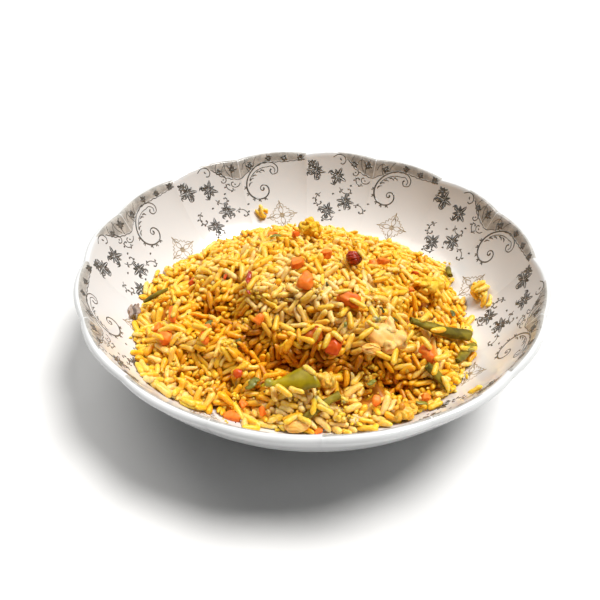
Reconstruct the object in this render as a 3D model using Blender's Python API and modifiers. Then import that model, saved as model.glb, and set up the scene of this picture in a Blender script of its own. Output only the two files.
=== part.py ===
"""A helping of fried rice in a wide, scalloped china bowl.

Metres, +Z up. The origin is on the table, under the middle of the bowl. The front is -Y.
"""

import math

import bmesh
import bpy
from mathutils import Matrix, Vector, noise

MM = 0.001
FULL_TURN = 2 * math.pi

# The bowl: a turned wall whose inside rises as a power of the radius, with a fluted brim.
RIM_RADIUS = 109 * MM
RIM_HEIGHT = 51.5 * MM
MOUTH_RADIUS = 106 * MM
FLOOR_HEIGHT = 8.5 * MM
WALL_POWER = 4.92
WALL_THICKNESS = 3.4 * MM
LIP_RADIUS = 2 * MM
LIP_ANGLES = [math.radians(degrees) for degrees in (125, 80, 35, -10)]
BOWL_STEPS = 96
WELL_RADII = [radius * MM for radius in (0, 45, 60, 70, 78, 85, 91, 96.5, 101, 104.4)]
OUTSIDE_RADII = [radius * MM for radius in (101, 94, 86, 77, 67)]
SCALLOPS = 16
SCALLOP_TURN = math.radians(1.3)
SCALLOP_DEPTH = 1.5 * MM
SCALLOP_DIP = 1.2 * MM
SCALLOP_POWER = 0.95
FLUTE_LENGTH = 27 * MM
FOOT_OUTER_RADIUS = 61.5 * MM
FOOT_INNER_RADIUS = 57 * MM
FOOT_EDGE = 0.8 * MM
FOOT_ROOT_HEIGHT = 6.2 * MM
UNDERSIDE_HEIGHT = 4.6 * MM

# The rice: a mound with an uneven outline, given by its radius every 30 degrees from +X.
HEAP_TOP_HEIGHT = 53 * MM
HEAP_TOP_Y = -8 * MM
HEAP_POWER = 1.6
HEAP_OUTLINE = [radius * MM for radius in (79, 79.5, 76, 77, 79, 80.5, 85.5, 85.5, 76.5, 78, 82, 82.5)]
HEAP_EDGE_LIFT = 1.2 * MM
HEAP_STEPS = 60
HEAP_TOP_RINGS = 13
HEAP_BASE_RINGS = 5
HUMP_MARGIN = 10 * MM
GRAIN_RELIEF = 0.5 * MM
GRAIN_SPACING = 9 * MM

# Where the mound swells or sinks: x, y, spread and height, in millimetres.
HUMPS = {
    "right_shoulder": (53, 22, 14, 2),
    "left_shoulder": (-52, 5, 9, 2.5),
    "top_front": (10, -25, 12, 2.5),
    "front_left_bulge": (-23, -21, 9, 2.5),
    "meat_bulge": (29, -44, 9, 2.5),
    "right_bulge": (60, 2, 8, 1.5),
    "left_toe": (-74, -33, 8, 2),
    "left_low": (-43, -44, 9, 2.5),
    "front_left_toe": (-53, -59, 8, 2.5),
    "front_toe": (-9, -71, 10, 2.5),
    "front_right_toe": (41, -68, 9, 3),
    "right_toe": (60, -49, 8, 2),
    "back_dip": (14, 27, 12, -1.5),
    "left_cleft": (-50, -17, 6, -3),
    "front_cleft": (-22, -46, 7, -4),
    "bean_cleft": (-7, -48, 6, -3),
    "low_cleft": (11, -60, 6, -2.5),
    "right_cleft": (37, -61, 6, -4),
    "bean_hollow": (40, -28, 5, -2.5),
    "left_pit": (-52, -51, 5, -2.5),
}

GAP = 0.35 * MM
CUTTER_LIFT = 0.5 * MM
CUTTER_RADII = [radius * MM for radius in (89, 94, 99)]
CUTTER_BOTTOM = -5 * MM
WELD_DISTANCE = 0.01 * MM

# The toppings' shapes: edges cut off a block, swells of a lump, joints and sides of a pod.
BLOCK_EDGE_SHARE = 0.22
LUMP_SWELL = 0.25
LUMP_SWELL_SCALE = 1.6
POD_JOINTS = 4
SEAT_STEP = 2 * MM

# Colour and roughness of each material.
LOOKS = {
    "porcelain": ((0.88, 0.87, 0.84), 0.15),
    "rice": ((0.86, 0.58, 0.12), 0.5),
    "green_bean": ((0.26, 0.29, 0.04), 0.4),
    "carrot": ((0.90, 0.27, 0.03), 0.4),
    "red_pepper": ((0.55, 0.05, 0.02), 0.35),
    "chicken": ((0.80, 0.50, 0.22), 0.5),
    "egg": ((0.88, 0.60, 0.12), 0.45),
    "mushroom": ((0.16, 0.12, 0.09), 0.5),
}


def smooth_step(share):
    share = min(max(share, 0.0), 1.0)
    return share * share * (3 - 2 * share)


def make_material(name):
    colour, roughness = LOOKS[name]
    material = bpy.data.materials.new(name)
    material.use_nodes = True
    shader = material.node_tree.nodes["Principled BSDF"]
    shader.inputs["Base Color"].default_value = (*colour, 1.0)
    shader.inputs["Roughness"].default_value = roughness
    shader.inputs["Metallic"].default_value = 0.0
    return material


# The bowl.

def well_height(radius):
    """Height of the bowl's inside surface."""
    rise = RIM_HEIGHT - FLOOR_HEIGHT
    return FLOOR_HEIGHT + rise * (radius / MOUTH_RADIUS) ** WALL_POWER


def well_slope(radius):
    rise = RIM_HEIGHT - FLOOR_HEIGHT
    return rise * WALL_POWER / MOUTH_RADIUS * (radius / MOUTH_RADIUS) ** (WALL_POWER - 1)


def facet_height(radius):
    """Height of the inside between two rings of the faceted bowl."""
    for inner, outer in zip(WELL_RADII, WELL_RADII[1:]):
        if radius <= outer:
            share = (radius - inner) / (outer - inner)
            return well_height(inner) * (1 - share) + well_height(outer) * share
    return well_height(radius)


def outside_point(radius):
    """The point of the bowl's outside that lies square behind a point of the inside."""
    slope = math.atan(well_slope(radius))
    across = radius + WALL_THICKNESS * math.sin(slope)
    return across, well_height(radius) - WALL_THICKNESS * math.cos(slope)


def bowl_profile():
    """Half section: up the inside, round the lip, down the outside and under the foot."""
    points = [(radius, well_height(radius)) for radius in WELL_RADII]
    for angle in LIP_ANGLES:
        across = RIM_RADIUS - LIP_RADIUS + LIP_RADIUS * math.cos(angle)
        points.append((across, RIM_HEIGHT - LIP_RADIUS + LIP_RADIUS * math.sin(angle)))
    points += [outside_point(radius) for radius in OUTSIDE_RADII]
    points += [
        (FOOT_OUTER_RADIUS, FOOT_ROOT_HEIGHT),
        (FOOT_OUTER_RADIUS, FOOT_EDGE),
        (FOOT_OUTER_RADIUS - FOOT_EDGE, 0.0),
        (FOOT_INNER_RADIUS + FOOT_EDGE, 0.0),
        (FOOT_INNER_RADIUS, FOOT_EDGE),
        (FOOT_INNER_RADIUS, UNDERSIDE_HEIGHT),
        (0.0, UNDERSIDE_HEIGHT),
    ]
    return points


def flute(point):
    """Draw the brim in and down at the notches, less and less down the wall."""
    turn = math.atan2(point.y, point.x) - SCALLOP_TURN
    swell = abs(math.sin(turn * SCALLOPS / 2)) ** SCALLOP_POWER
    share = smooth_step((point.z - RIM_HEIGHT + FLUTE_LENGTH) / FLUTE_LENGTH)
    notch = share * (1 - swell)
    shrink = 1 - SCALLOP_DEPTH / RIM_RADIUS * notch
    return Vector((point.x * shrink, point.y * shrink, point.z - SCALLOP_DIP * notch))


def make_bowl(collection):
    points = [(across, 0.0, height) for across, height in bowl_profile()]
    edges = [(index, index + 1) for index in range(len(points) - 1)]
    outline = bpy.data.meshes.new("bowl_outline")
    outline.from_pydata(points, edges, [])
    turned = add_object("bowl_turned", outline, "porcelain", collection)
    screw = turned.modifiers.new("turn", 'SCREW')
    screw.steps = BOWL_STEPS
    screw.render_steps = BOWL_STEPS
    screw.use_merge_vertices = True
    screw.merge_threshold = WELD_DISTANCE

    mesh = evaluated_mesh(turned)
    bpy.data.objects.remove(turned)
    turn_to_notch = Matrix.Rotation(SCALLOP_TURN, 4, 'Z')
    builder = bmesh.new()
    builder.from_mesh(mesh)
    bmesh.ops.remove_doubles(builder, verts=builder.verts, dist=WELD_DISTANCE)
    for vertex in builder.verts:
        vertex.co = flute(turn_to_notch @ vertex.co)
    bmesh.ops.recalc_face_normals(builder, faces=builder.faces)
    builder.to_mesh(mesh)
    builder.free()
    return add_object("bowl", mesh, "porcelain", collection)


# The rice.

def outline_radius(azimuth):
    """Radius of the mound's edge, a smooth closed curve through HEAP_OUTLINE."""
    count = len(HEAP_OUTLINE)
    place = (azimuth % FULL_TURN) / FULL_TURN * count
    index = int(place)
    share = place - index
    before, start, end, after = (HEAP_OUTLINE[(index + step) % count] for step in (-1, 0, 1, 2))
    curve = start * 2 + (end - before) * share
    curve += (2 * before - 5 * start + 4 * end - after) * share ** 2
    curve += (3 * start - before - 3 * end + after) * share ** 3
    return curve / 2


def heap_height(x, y):
    """Height of the mound's uneven top."""
    radius = math.hypot(x, y)
    edge = outline_radius(math.atan2(y, x))
    top_y = HEAP_TOP_Y * max(1 - radius / edge, 0.0)
    share = math.hypot(x, y - top_y) / edge
    foot = well_height(edge) + HEAP_EDGE_LIFT
    height = foot + (HEAP_TOP_HEIGHT - foot) * (1 - share ** HEAP_POWER)
    swell = GRAIN_RELIEF * noise.noise(Vector((x, y, 0.0)) / GRAIN_SPACING)
    for hump_x, hump_y, spread, rise in HUMPS.values():
        distance = math.hypot(x / MM - hump_x, y / MM - hump_y)
        swell += rise * MM * math.exp(-distance ** 2 / (2 * spread ** 2))
    return height + swell * smooth_step((edge - radius) / HUMP_MARGIN)


def lying_height(x, y):
    """Height of what a piece lies on: the mound, or the bowl beyond the mound's edge."""
    radius = math.hypot(x, y)
    if radius < outline_radius(math.atan2(y, x)):
        return heap_height(x, y)
    return facet_height(radius)


def heap_point(ring, azimuth):
    """A point of the mound, counted in rings from its top over its edge to its base."""
    edge = outline_radius(azimuth)
    on_top = ring <= HEAP_TOP_RINGS
    if on_top:
        radius = edge * ring / HEAP_TOP_RINGS
    else:
        radius = edge * (HEAP_TOP_RINGS + HEAP_BASE_RINGS - ring) / HEAP_BASE_RINGS
    x = radius * math.cos(azimuth)
    y = radius * math.sin(azimuth)
    height = heap_height(x, y) if on_top else facet_height(radius) + GAP
    return Vector((x, y, height))


def cutter_point(ring, azimuth):
    """A point just above the mound and the bowl around it, or far below them."""
    if ring <= HEAP_TOP_RINGS:
        return heap_point(ring, azimuth) + Vector((0, 0, CUTTER_LIFT))
    beyond = ring - HEAP_TOP_RINGS - 1
    if beyond < len(CUTTER_RADII):
        radius = CUTTER_RADII[beyond]
        height = facet_height(radius) + GAP
    else:
        radius = CUTTER_RADII[-1] if beyond == len(CUTTER_RADII) else 0.0
        height = CUTTER_BOTTOM
    return Vector((radius * math.cos(azimuth), radius * math.sin(azimuth), height))


def ringed_mesh(name, rings, place):
    """A sphere's mesh whose rings are moved to the places that a function gives."""
    builder = bmesh.new()
    bmesh.ops.create_uvsphere(builder, u_segments=HEAP_STEPS, v_segments=rings, radius=1.0)
    for vertex in builder.verts:
        polar = math.acos(max(-1.0, min(1.0, vertex.co.z)))
        ring = round(polar / math.pi * rings)
        vertex.co = place(ring, math.atan2(vertex.co.y, vertex.co.x))
    mesh = bpy.data.meshes.new(name)
    builder.to_mesh(mesh)
    builder.free()
    return mesh


def make_heap(collection):
    mesh = ringed_mesh("rice_heap", HEAP_TOP_RINGS + HEAP_BASE_RINGS, heap_point)
    return add_object("rice_heap", mesh, "rice", collection)


def make_cutter(collection):
    """What every topping is cut by, so that it lies on the rice with a hair of room."""
    rings = HEAP_TOP_RINGS + len(CUTTER_RADII) + 2
    mesh = ringed_mesh("lying_cutter", rings, cutter_point)
    cutter = add_object("lying_cutter", mesh, "rice", collection)
    cutter.hide_render = True
    cutter.display_type = 'WIRE'
    return cutter


# What lies in and on the rice.

def seat(x, y, heading, lift):
    """A frame on the surface at x, y: local X along the heading, local Z square to it."""
    step = SEAT_STEP
    slope_x = (lying_height(x + step, y) - lying_height(x - step, y)) / (2 * step)
    slope_y = (lying_height(x, y + step) - lying_height(x, y - step)) / (2 * step)
    normal = Vector((-slope_x, -slope_y, 1)).normalized()
    forward = Vector((math.cos(heading), math.sin(heading), 0))
    forward = (forward - normal * forward.dot(normal)).normalized()
    turn = Matrix((forward, normal.cross(forward), normal)).transposed().to_4x4()
    return Matrix.Translation(Vector((x, y, lying_height(x, y))) + normal * lift) @ turn


def rest_on_rice(thing, cutter, matrix):
    """Place a piece and take away the part of it that would be inside the rice."""
    thing.matrix_world = matrix
    cut = thing.modifiers.new("lie", 'BOOLEAN')
    cut.operation = 'DIFFERENCE'
    cut.solver = 'EXACT'
    cut.object = cutter
    return thing


def make_dice(name, place, size, look, collection, cutter):
    """A chopped block with rounded edges. Places are in millimetres and degrees."""
    x, y, heading, lift = place
    builder = bmesh.new()
    bmesh.ops.create_cube(builder, size=1.0)
    for vertex in builder.verts:
        vertex.co = Vector(side * length * MM for side, length in zip(vertex.co, size))
    mesh = bpy.data.meshes.new(name)
    builder.to_mesh(mesh)
    builder.free()
    dice = add_object(name, mesh, look, collection)
    bevel = dice.modifiers.new("rounded_edges", 'BEVEL')
    bevel.width = min(size) * BLOCK_EDGE_SHARE * MM
    bevel.segments = 1
    matrix = seat(x * MM, y * MM, math.radians(heading), lift * MM)
    return rest_on_rice(dice, cutter, matrix)


def make_lump(name, place, size, look, collection, cutter):
    """An uneven lump of three half lengths."""
    x, y, heading, lift = place
    builder = bmesh.new()
    bmesh.ops.create_icosphere(builder, subdivisions=2, radius=1.0)
    for vertex in builder.verts:
        bump = noise.noise(vertex.co * LUMP_SWELL_SCALE + Vector((x, y, heading)))
        swell = 1 + LUMP_SWELL * bump
        vertex.co = Vector(side * half * swell * MM for side, half in zip(vertex.co, size))
    mesh = bpy.data.meshes.new(name)
    builder.to_mesh(mesh)
    builder.free()
    lump = add_object(name, mesh, look, collection)
    matrix = seat(x * MM, y * MM, math.radians(heading), lift * MM)
    return rest_on_rice(lump, cutter, matrix)


def make_pod(name, place, size, look, collection, cutter):
    """A length of pod or strip with square ends, bowed a little along its length."""
    x, y, heading, lift = place
    length, width, bow = (value * MM for value in size)
    curve = bpy.data.curves.new(name, 'CURVE')
    curve.dimensions = '3D'
    curve.bevel_depth = width / 2
    curve.bevel_resolution = 2
    curve.use_fill_caps = True
    spline = curve.splines.new('POLY')
    spline.points.add(POD_JOINTS - 1)
    for index, point in enumerate(spline.points):
        along = index / (POD_JOINTS - 1) - 0.5
        point.co = (along * length, bow * (1 - 4 * along ** 2), 0, 1)
    guide = bpy.data.objects.new(name + "_curve", curve)
    collection.objects.link(guide)
    mesh = evaluated_mesh(guide)
    bpy.data.objects.remove(guide)
    builder = bmesh.new()
    builder.from_mesh(mesh)
    bmesh.ops.remove_doubles(builder, verts=builder.verts, dist=WELD_DISTANCE)
    bmesh.ops.recalc_face_normals(builder, faces=builder.faces)
    builder.to_mesh(mesh)
    builder.free()
    pod = add_object(name, mesh, look, collection)
    matrix = seat(x * MM, y * MM, math.radians(heading), lift * MM)
    return rest_on_rice(pod, cutter, matrix)


# Each topping: its maker, its look, where it lies (x, y, heading, lift) and its size.
TOPPINGS = {
    "green_bean_front": (make_pod, "green_bean", (-9, -61.5, 7, 1.8), (21, 8.6, 0.6)),
    "green_bean_right": (make_pod, "green_bean", (57, -30, 6, 1.0), (32, 4.8, 0.8)),
    "green_bean_side": (make_pod, "green_bean", (69.5, -36.5, 46, 0.9), (18, 4.2, 0.4)),
    "green_bean_low": (make_pod, "green_bean", (53, -55, -42, 0.9), (14, 4.6, 0.5)),
    "green_bean_toe": (make_pod, "green_bean", (4, -70, 41, 0.8), (17, 4.4, 0.5)),
    "green_bean_left": (make_pod, "green_bean", (-75, -4, 10, 0.6), (13, 3.2, 0.5)),
    "green_bean_back": (make_pod, "green_bean", (72, 27, 75, 1.0), (9, 4.2, 0.0)),
    "carrot_top_left": (make_dice, "carrot", (-7, -7, 20, 1.2), (7.5, 6, 5)),
    "carrot_top_front": (make_dice, "carrot", (-3, -19.5, 55, 1.2), (8, 6.5, 5)),
    "carrot_top_right": (make_dice, "carrot", (6, 1, 35, 1.2), (6.5, 6, 5)),
    "carrot_middle": (make_dice, "carrot", (16, -29, -21, 1.3), (11, 7, 5)),
    "carrot_right": (make_dice, "carrot", (51, -44.5, -49, 1.4), (9, 7, 5)),
    "carrot_left_strip": (make_dice, "carrot", (-63.5, -23, 93, 0.9), (9, 3.6, 3.6)),
    "carrot_left_low": (make_dice, "carrot", (-66, -34, 121, 0.9), (8, 5.5, 4)),
    "carrot_left_middle": (make_dice, "carrot", (-47, -38, 76, 0.9), (9, 4.4, 4)),
    "carrot_toe": (make_dice, "carrot", (-34, -70, 10, 0.9), (8, 5, 4)),
    "pepper_front": (make_dice, "red_pepper", (0, -43, 15, 0.9), (8.5, 6.5, 4)),
    "pepper_middle": (make_dice, "red_pepper", (9, -47.5, 60, 0.8), (7, 5.5, 4)),
    "pepper_top": (make_lump, "red_pepper", (20, 2.5, 30, 1.0), (4.2, 3.6, 3)),
    "chilli_strip": (make_pod, "red_pepper", (-28, -17, 92, 0.5), (15, 2.6, 0.8)),
    "chicken_middle": (make_lump, "chicken", (29.5, -45.5, 34, 1.4), (11.5, 7, 4.2)),
    "chicken_small": (make_lump, "chicken", (6, -59.5, 20, 1.0), (3.8, 3.4, 3)),
    "chicken_front": (make_lump, "chicken", (-6, -75.5, 5, 0.8), (5.5, 3.5, 3.2)),
    "chicken_right": (make_lump, "chicken", (39, -70, 15, 1.0), (6.5, 4.8, 3.6)),
    "egg_right": (make_lump, "egg", (57.5, -1.5, 10, 1.6), (6.5, 5, 4)),
    "egg_back": (make_lump, "egg", (-1, 45, 0, 1.8), (6.5, 4.5, 3.8)),
    "mushroom_left": (make_lump, "mushroom", (-84.5, -10.5, 103, 0.9), (4.4, 3.2, 2.6)),
    "rice_clump": (make_lump, "rice", (85.5, 7, 50, 2.2), (6, 5, 4)),
}


def add_object(name, mesh, look, collection):
    thing = bpy.data.objects.new(name, mesh)
    mesh.materials.clear()
    mesh.materials.append(bpy.data.materials[look])
    collection.objects.link(thing)
    return thing


def evaluated_mesh(thing):
    """The thing's mesh with its modifiers applied."""
    bpy.context.view_layer.update()
    depsgraph = bpy.context.evaluated_depsgraph_get()
    return bpy.data.meshes.new_from_object(thing.evaluated_get(depsgraph))


def main():
    for thing in list(bpy.data.objects):
        bpy.data.objects.remove(thing)
    parts = bpy.data.collections.new("fried_rice_bowl")
    cutters = bpy.data.collections.new("cutters")
    for collection in (parts, cutters):
        bpy.context.scene.collection.children.link(collection)
    for look in LOOKS:
        make_material(look)

    bowl = make_bowl(parts)
    bowl.data.shade_smooth()
    heap = make_heap(parts)
    heap.data.shade_smooth()
    cutter = make_cutter(cutters)
    for name, (maker, look, place, size) in TOPPINGS.items():
        maker(name, place, size, look, parts, cutter)


main()
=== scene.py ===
"""Fried rice in a wide, scalloped china bowl with a printed border.

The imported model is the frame. Shapes are worked out in millimetres and made in metres.
"""
import itertools
import math

import bmesh
import bpy
import numpy as np
from mathutils import Matrix, Vector
from mathutils.bvhtree import BVHTree


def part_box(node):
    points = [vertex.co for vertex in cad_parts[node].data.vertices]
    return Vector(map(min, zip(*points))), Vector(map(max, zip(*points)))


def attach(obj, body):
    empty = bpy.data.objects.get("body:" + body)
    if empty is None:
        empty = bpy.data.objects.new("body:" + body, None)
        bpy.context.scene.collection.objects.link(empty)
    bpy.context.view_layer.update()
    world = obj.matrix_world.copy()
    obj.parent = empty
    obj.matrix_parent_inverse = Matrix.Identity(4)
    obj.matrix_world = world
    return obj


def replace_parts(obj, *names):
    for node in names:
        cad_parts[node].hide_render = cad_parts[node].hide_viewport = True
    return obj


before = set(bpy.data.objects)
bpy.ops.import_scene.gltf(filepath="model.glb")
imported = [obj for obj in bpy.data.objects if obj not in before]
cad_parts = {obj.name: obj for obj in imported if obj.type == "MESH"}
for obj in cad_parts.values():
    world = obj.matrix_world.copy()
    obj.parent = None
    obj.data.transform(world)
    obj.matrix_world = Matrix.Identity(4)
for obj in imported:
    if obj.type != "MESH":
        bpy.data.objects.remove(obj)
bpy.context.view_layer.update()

MM = 0.001
FULL_TURN = 2 * math.pi
RNG = np.random.default_rng(20)

# The bowl, in millimetres: the same wall, lip, foot and flutes as the CAD bowl.
MOUTH_RADIUS = 106.0
RIM_RADIUS = 109.0
RIM_HEIGHT = 51.5
FLOOR_HEIGHT = 8.5
WALL_RISE = RIM_HEIGHT - FLOOR_HEIGHT
WALL_POWER = 4.92
WALL_THICKNESS = 3.4
LIP_RADIUS = 2.0
FOOT_OUTER_RADIUS = 61.5
FOOT_INNER_RADIUS = 57.0
FOOT_ROOT_HEIGHT = 6.2
FOOT_BEND = 0.8
UNDERSIDE_HEIGHT = 4.6
SCALLOPS = 16
NOTCH_TURN = math.radians(1.3)
SCALLOP_DEPTH = 1.5
SCALLOP_DIP = 1.2
SCALLOP_POWER = 0.95
FLUTE_LENGTH = 27.0
BOWL_STEPS = 416

# The printed border repeats over every second notch.
REPEATS = SCALLOPS // 2
REPEAT_TURN = FULL_TURN / REPEATS
INK_HEIGHT = 0.05
INK_DEPTH = 0.04


# ---------------------------------------------------------------- small tools

def smooth_step(share):
    share = np.clip(share, 0.0, 1.0)
    return share * share * (3 - 2 * share)


def unit(vectors):
    length = np.linalg.norm(vectors, axis=-1, keepdims=True)
    return vectors / np.maximum(length, 1e-9)


def dot(first, second):
    return np.sum(first * second, axis=-1)


def polar(reach, angle):
    """One flat point so far out at an angle."""
    return np.array([reach * math.cos(angle), reach * math.sin(angle)])


def circled(radius, angle, height=None):
    """Points round the axis, flat ones or at a height."""
    parts = [radius * np.cos(angle), radius * np.sin(angle)]
    if height is not None:
        parts.append(np.broadcast_to(height, parts[0].shape))
    return np.stack(parts, axis=-1)


def flat_distance(points, x=0.0, y=0.0):
    """How far points are, seen from above, from a place or from the bowl's axis."""
    return np.hypot(points[..., 0] - x, points[..., 1] - y)


def azimuth_of(points):
    return np.arctan2(points[..., 1], points[..., 0])


def curve_through(points, steps):
    """Points of a smooth open curve through a few given ones, steps for each stretch."""
    points = np.asarray(points, float)
    padded = np.vstack([2 * points[0] - points[1], points, 2 * points[-1] - points[-2]])
    share = np.linspace(0, 1, steps, endpoint=False)[:, None]
    pieces = []
    for before, start, end, after in zip(padded, padded[1:], padded[2:], padded[3:]):
        curve = 2 * start + (end - before) * share
        curve = curve + (2 * before - 5 * start + 4 * end - after) * share ** 2
        curve = curve + (3 * start - before - 3 * end + after) * share ** 3
        pieces.append(curve / 2)
    return np.vstack(pieces + [points[-1:]])


def facing_frames(axes, around):
    """Two directions square to each axis, the first one turned by an angle about it."""
    helper = np.where(np.abs(axes[:, 2:3]) < 0.8, [[0, 0, 1.0]], [[1.0, 0, 0]])
    side = unit(np.cross(helper, axes))
    other = np.cross(axes, side)
    cosine, sine = np.cos(around)[:, None], np.sin(around)[:, None]
    return side * cosine + other * sine, other * cosine - side * sine


def template(builder):
    """The points and faces of a finished bmesh."""
    builder.verts.index_update()
    points = np.array([vertex.co for vertex in builder.verts])
    faces = np.array([[vertex.index for vertex in face.verts] for face in builder.faces])
    builder.free()
    return points, faces


class Shape:
    """Points, faces and a tone for each point, gathered for one piece, in millimetres."""

    def __init__(self):
        self.points, self.tones, self.quads, self.triangles = [], [], [], []
        self.count = 0

    def add(self, points, quads, triangles, tone):
        points = np.asarray(points, float).reshape(-1, 3)
        if len(quads):
            self.quads.append(np.asarray(quads) + self.count)
        if len(triangles):
            self.triangles.append(np.asarray(triangles) + self.count)
        self.points.append(points)
        self.tones.append(np.broadcast_to(np.asarray(tone, float), (len(points),)))
        self.count += len(points)

    def add_lofts(self, rings, ends, tones):
        """Closed forms, each through its rings of points and shut by a point at each end."""
        forms, stations, sides, _ = rings.shape
        size = stations * sides + 2
        points = np.concatenate([rings.reshape(forms, -1, 3), ends], axis=1)
        side = np.arange(sides)
        after = (side + 1) % sides
        row = np.arange(stations - 1)[:, None] * sides
        low, low_next = (row + side).ravel(), (row + after).ravel()
        quads = np.stack([low, low_next, low_next + sides, low + sides], axis=1)
        first, last = stations * sides, stations * sides + 1
        top = (stations - 1) * sides
        caps = np.concatenate([
            np.stack([after, side, np.full(sides, first)], axis=1),
            np.stack([top + side, top + after, np.full(sides, last)], axis=1)])
        shift = (np.arange(forms) * size)[:, None, None]
        self.add(points, (quads[None] + shift).reshape(-1, 4),
                 (caps[None] + shift).reshape(-1, 3), np.repeat(np.asarray(tones, float), size))

    def add_loft(self, rings, ends, tone=0.0):
        self.add_lofts(np.asarray(rings)[None], np.asarray(ends, float)[None], [tone])

    def make(self, name, look, slot):
        """The piece itself, riding on the bowl, with a look that is a material or its name."""
        points = np.concatenate(self.points) * MM
        quads = np.concatenate(self.quads) if self.quads else np.zeros((0, 4), int)
        triangles = np.concatenate(self.triangles) if self.triangles else np.zeros((0, 3), int)
        corners = np.concatenate([quads.ravel(), triangles.ravel()])
        starts = np.concatenate([np.arange(len(quads)) * 4,
                                 len(quads) * 4 + np.arange(len(triangles)) * 3])
        mesh = bpy.data.meshes.new(name)
        mesh.vertices.add(len(points))
        mesh.vertices.foreach_set("co", points.astype(np.float32).ravel())
        mesh.loops.add(len(corners))
        mesh.loops.foreach_set("vertex_index", corners.astype(np.int32))
        mesh.polygons.add(len(starts))
        mesh.polygons.foreach_set("loop_start", starts.astype(np.int32))
        mesh.update(calc_edges=True)
        mesh.validate()
        tone = mesh.attributes.new("tone", "FLOAT", "POINT")
        tone.data.foreach_set("value", np.concatenate(self.tones).astype(np.float32))
        mesh.shade_smooth()
        mesh.materials.append(food_material(look) if look in FOODS else look)
        piece = bpy.data.objects.new(name, mesh)
        bpy.context.scene.collection.objects.link(piece)
        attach(piece, "root")
        return piece

    def replace(self, node, ending, look, slot):
        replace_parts(self.make(node + ending, look, slot), node)


# ---------------------------------------------------------------- materials

class Term:
    """A value inside a node tree, with which formulas are written."""

    def __init__(self, nodes, socket):
        self.nodes, self.socket = nodes, socket

    def __add__(self, other):
        return self.nodes.math("ADD", self, other)

    def __sub__(self, other):
        return self.nodes.math("SUBTRACT", self, other)

    def __rsub__(self, other):
        return self.nodes.math("SUBTRACT", other, self)

    def __mul__(self, other):
        return self.nodes.math("MULTIPLY", self, other)

    def __truediv__(self, other):
        return self.nodes.math("DIVIDE", self, other)

    def __pow__(self, other):
        return self.nodes.math("POWER", self, other)

    def __abs__(self):
        return self.nodes.math("ABSOLUTE", self)


class Nodes:
    """A material's node tree, built one node at a time."""

    def __init__(self, name):
        self.material = bpy.data.materials.new(name)
        self.material.use_nodes = True
        self.tree = self.material.node_tree
        self.shader = self.tree.nodes["Principled BSDF"]

    def add(self, kind, inputs=None, **settings):
        node = self.tree.nodes.new(kind)
        for key, value in settings.items():
            setattr(node, key, value)
        for key, value in (inputs or {}).items():
            self.feed(node.inputs[key], value)
        return node

    def feed(self, socket, value):
        if isinstance(value, Term):
            self.tree.links.new(value.socket, socket)
        else:
            socket.default_value = value

    def out(self, node, socket=0):
        return Term(self, node.outputs[socket])

    def math(self, operation, *values, clamp=False):
        node = self.add("ShaderNodeMath", operation=operation, use_clamp=clamp)
        for socket, value in zip(node.inputs, values):
            self.feed(socket, value)
        return self.out(node)

    def where(self):
        return self.out(self.add("ShaderNodeTexCoord"), "Object")

    def noise(self, scale, detail=3.0, stretch=None):
        """Noise of so many swells per metre."""
        where = self.where()
        if stretch:
            where = self.out(self.add("ShaderNodeMapping", {"Vector": where, "Scale": stretch}))
        inputs = {"Vector": where, "Scale": scale, "Detail": detail, "Roughness": 0.55}
        return self.out(self.add("ShaderNodeTexNoise", inputs), "Fac")

    def tone(self):
        return self.out(self.add("ShaderNodeAttribute", attribute_name="tone"), "Fac")

    def ramp(self, value, *stops):
        """A colour for each value, from stops of a place and a red, a green and a blue."""
        node = self.add("ShaderNodeValToRGB", {"Fac": value})
        elements = node.color_ramp.elements
        while len(elements) < len(stops):
            elements.new(0.5)
        for element, (position, *colour) in zip(elements, stops):
            element.position = position
            element.color = (*colour, 1.0)
        return self.out(node, "Color")

    def blend(self, share, first, second, kind="MIX"):
        node = self.add("ShaderNodeMix", data_type="RGBA", blend_type=kind)
        for index, value in ((0, share), (6, first), (7, second)):
            self.feed(node.inputs[index], value)
        return self.out(node, 2)

    def bump(self, height, distance, strength):
        inputs = {"Height": height, "Distance": distance * MM, "Strength": strength}
        self.set(Normal=self.out(self.add("ShaderNodeBump", inputs)))

    def set(self, **values):
        for key, value in values.items():
            self.feed(self.shader.inputs[key.replace("_", " ")], value)
        return self.material


# Depth of the shaded ground below the brim, in millimetres, by share of one repeat.
GROUND = ((0.0, 0.0), (0.03, 3.4), (0.16, 5.0), (0.32, 4.8), (0.41, 6.8), (0.49, 10.5),
          (0.56, 9.6), (0.63, 7.6), (0.68, 4.4), (0.74, 1.8), (0.79, 0.0))
# The deepest ground that its ramp can hold, the width of its soft edges, how much longer the
# way down the wall is than its height, and how close to the wall's formula ground is printed.
GROUND_SCALE = 12.0
GROUND_SOFTNESS = 0.5
WALL_LEAN = 1.12
GROUND_REACH = 1.3


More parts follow.
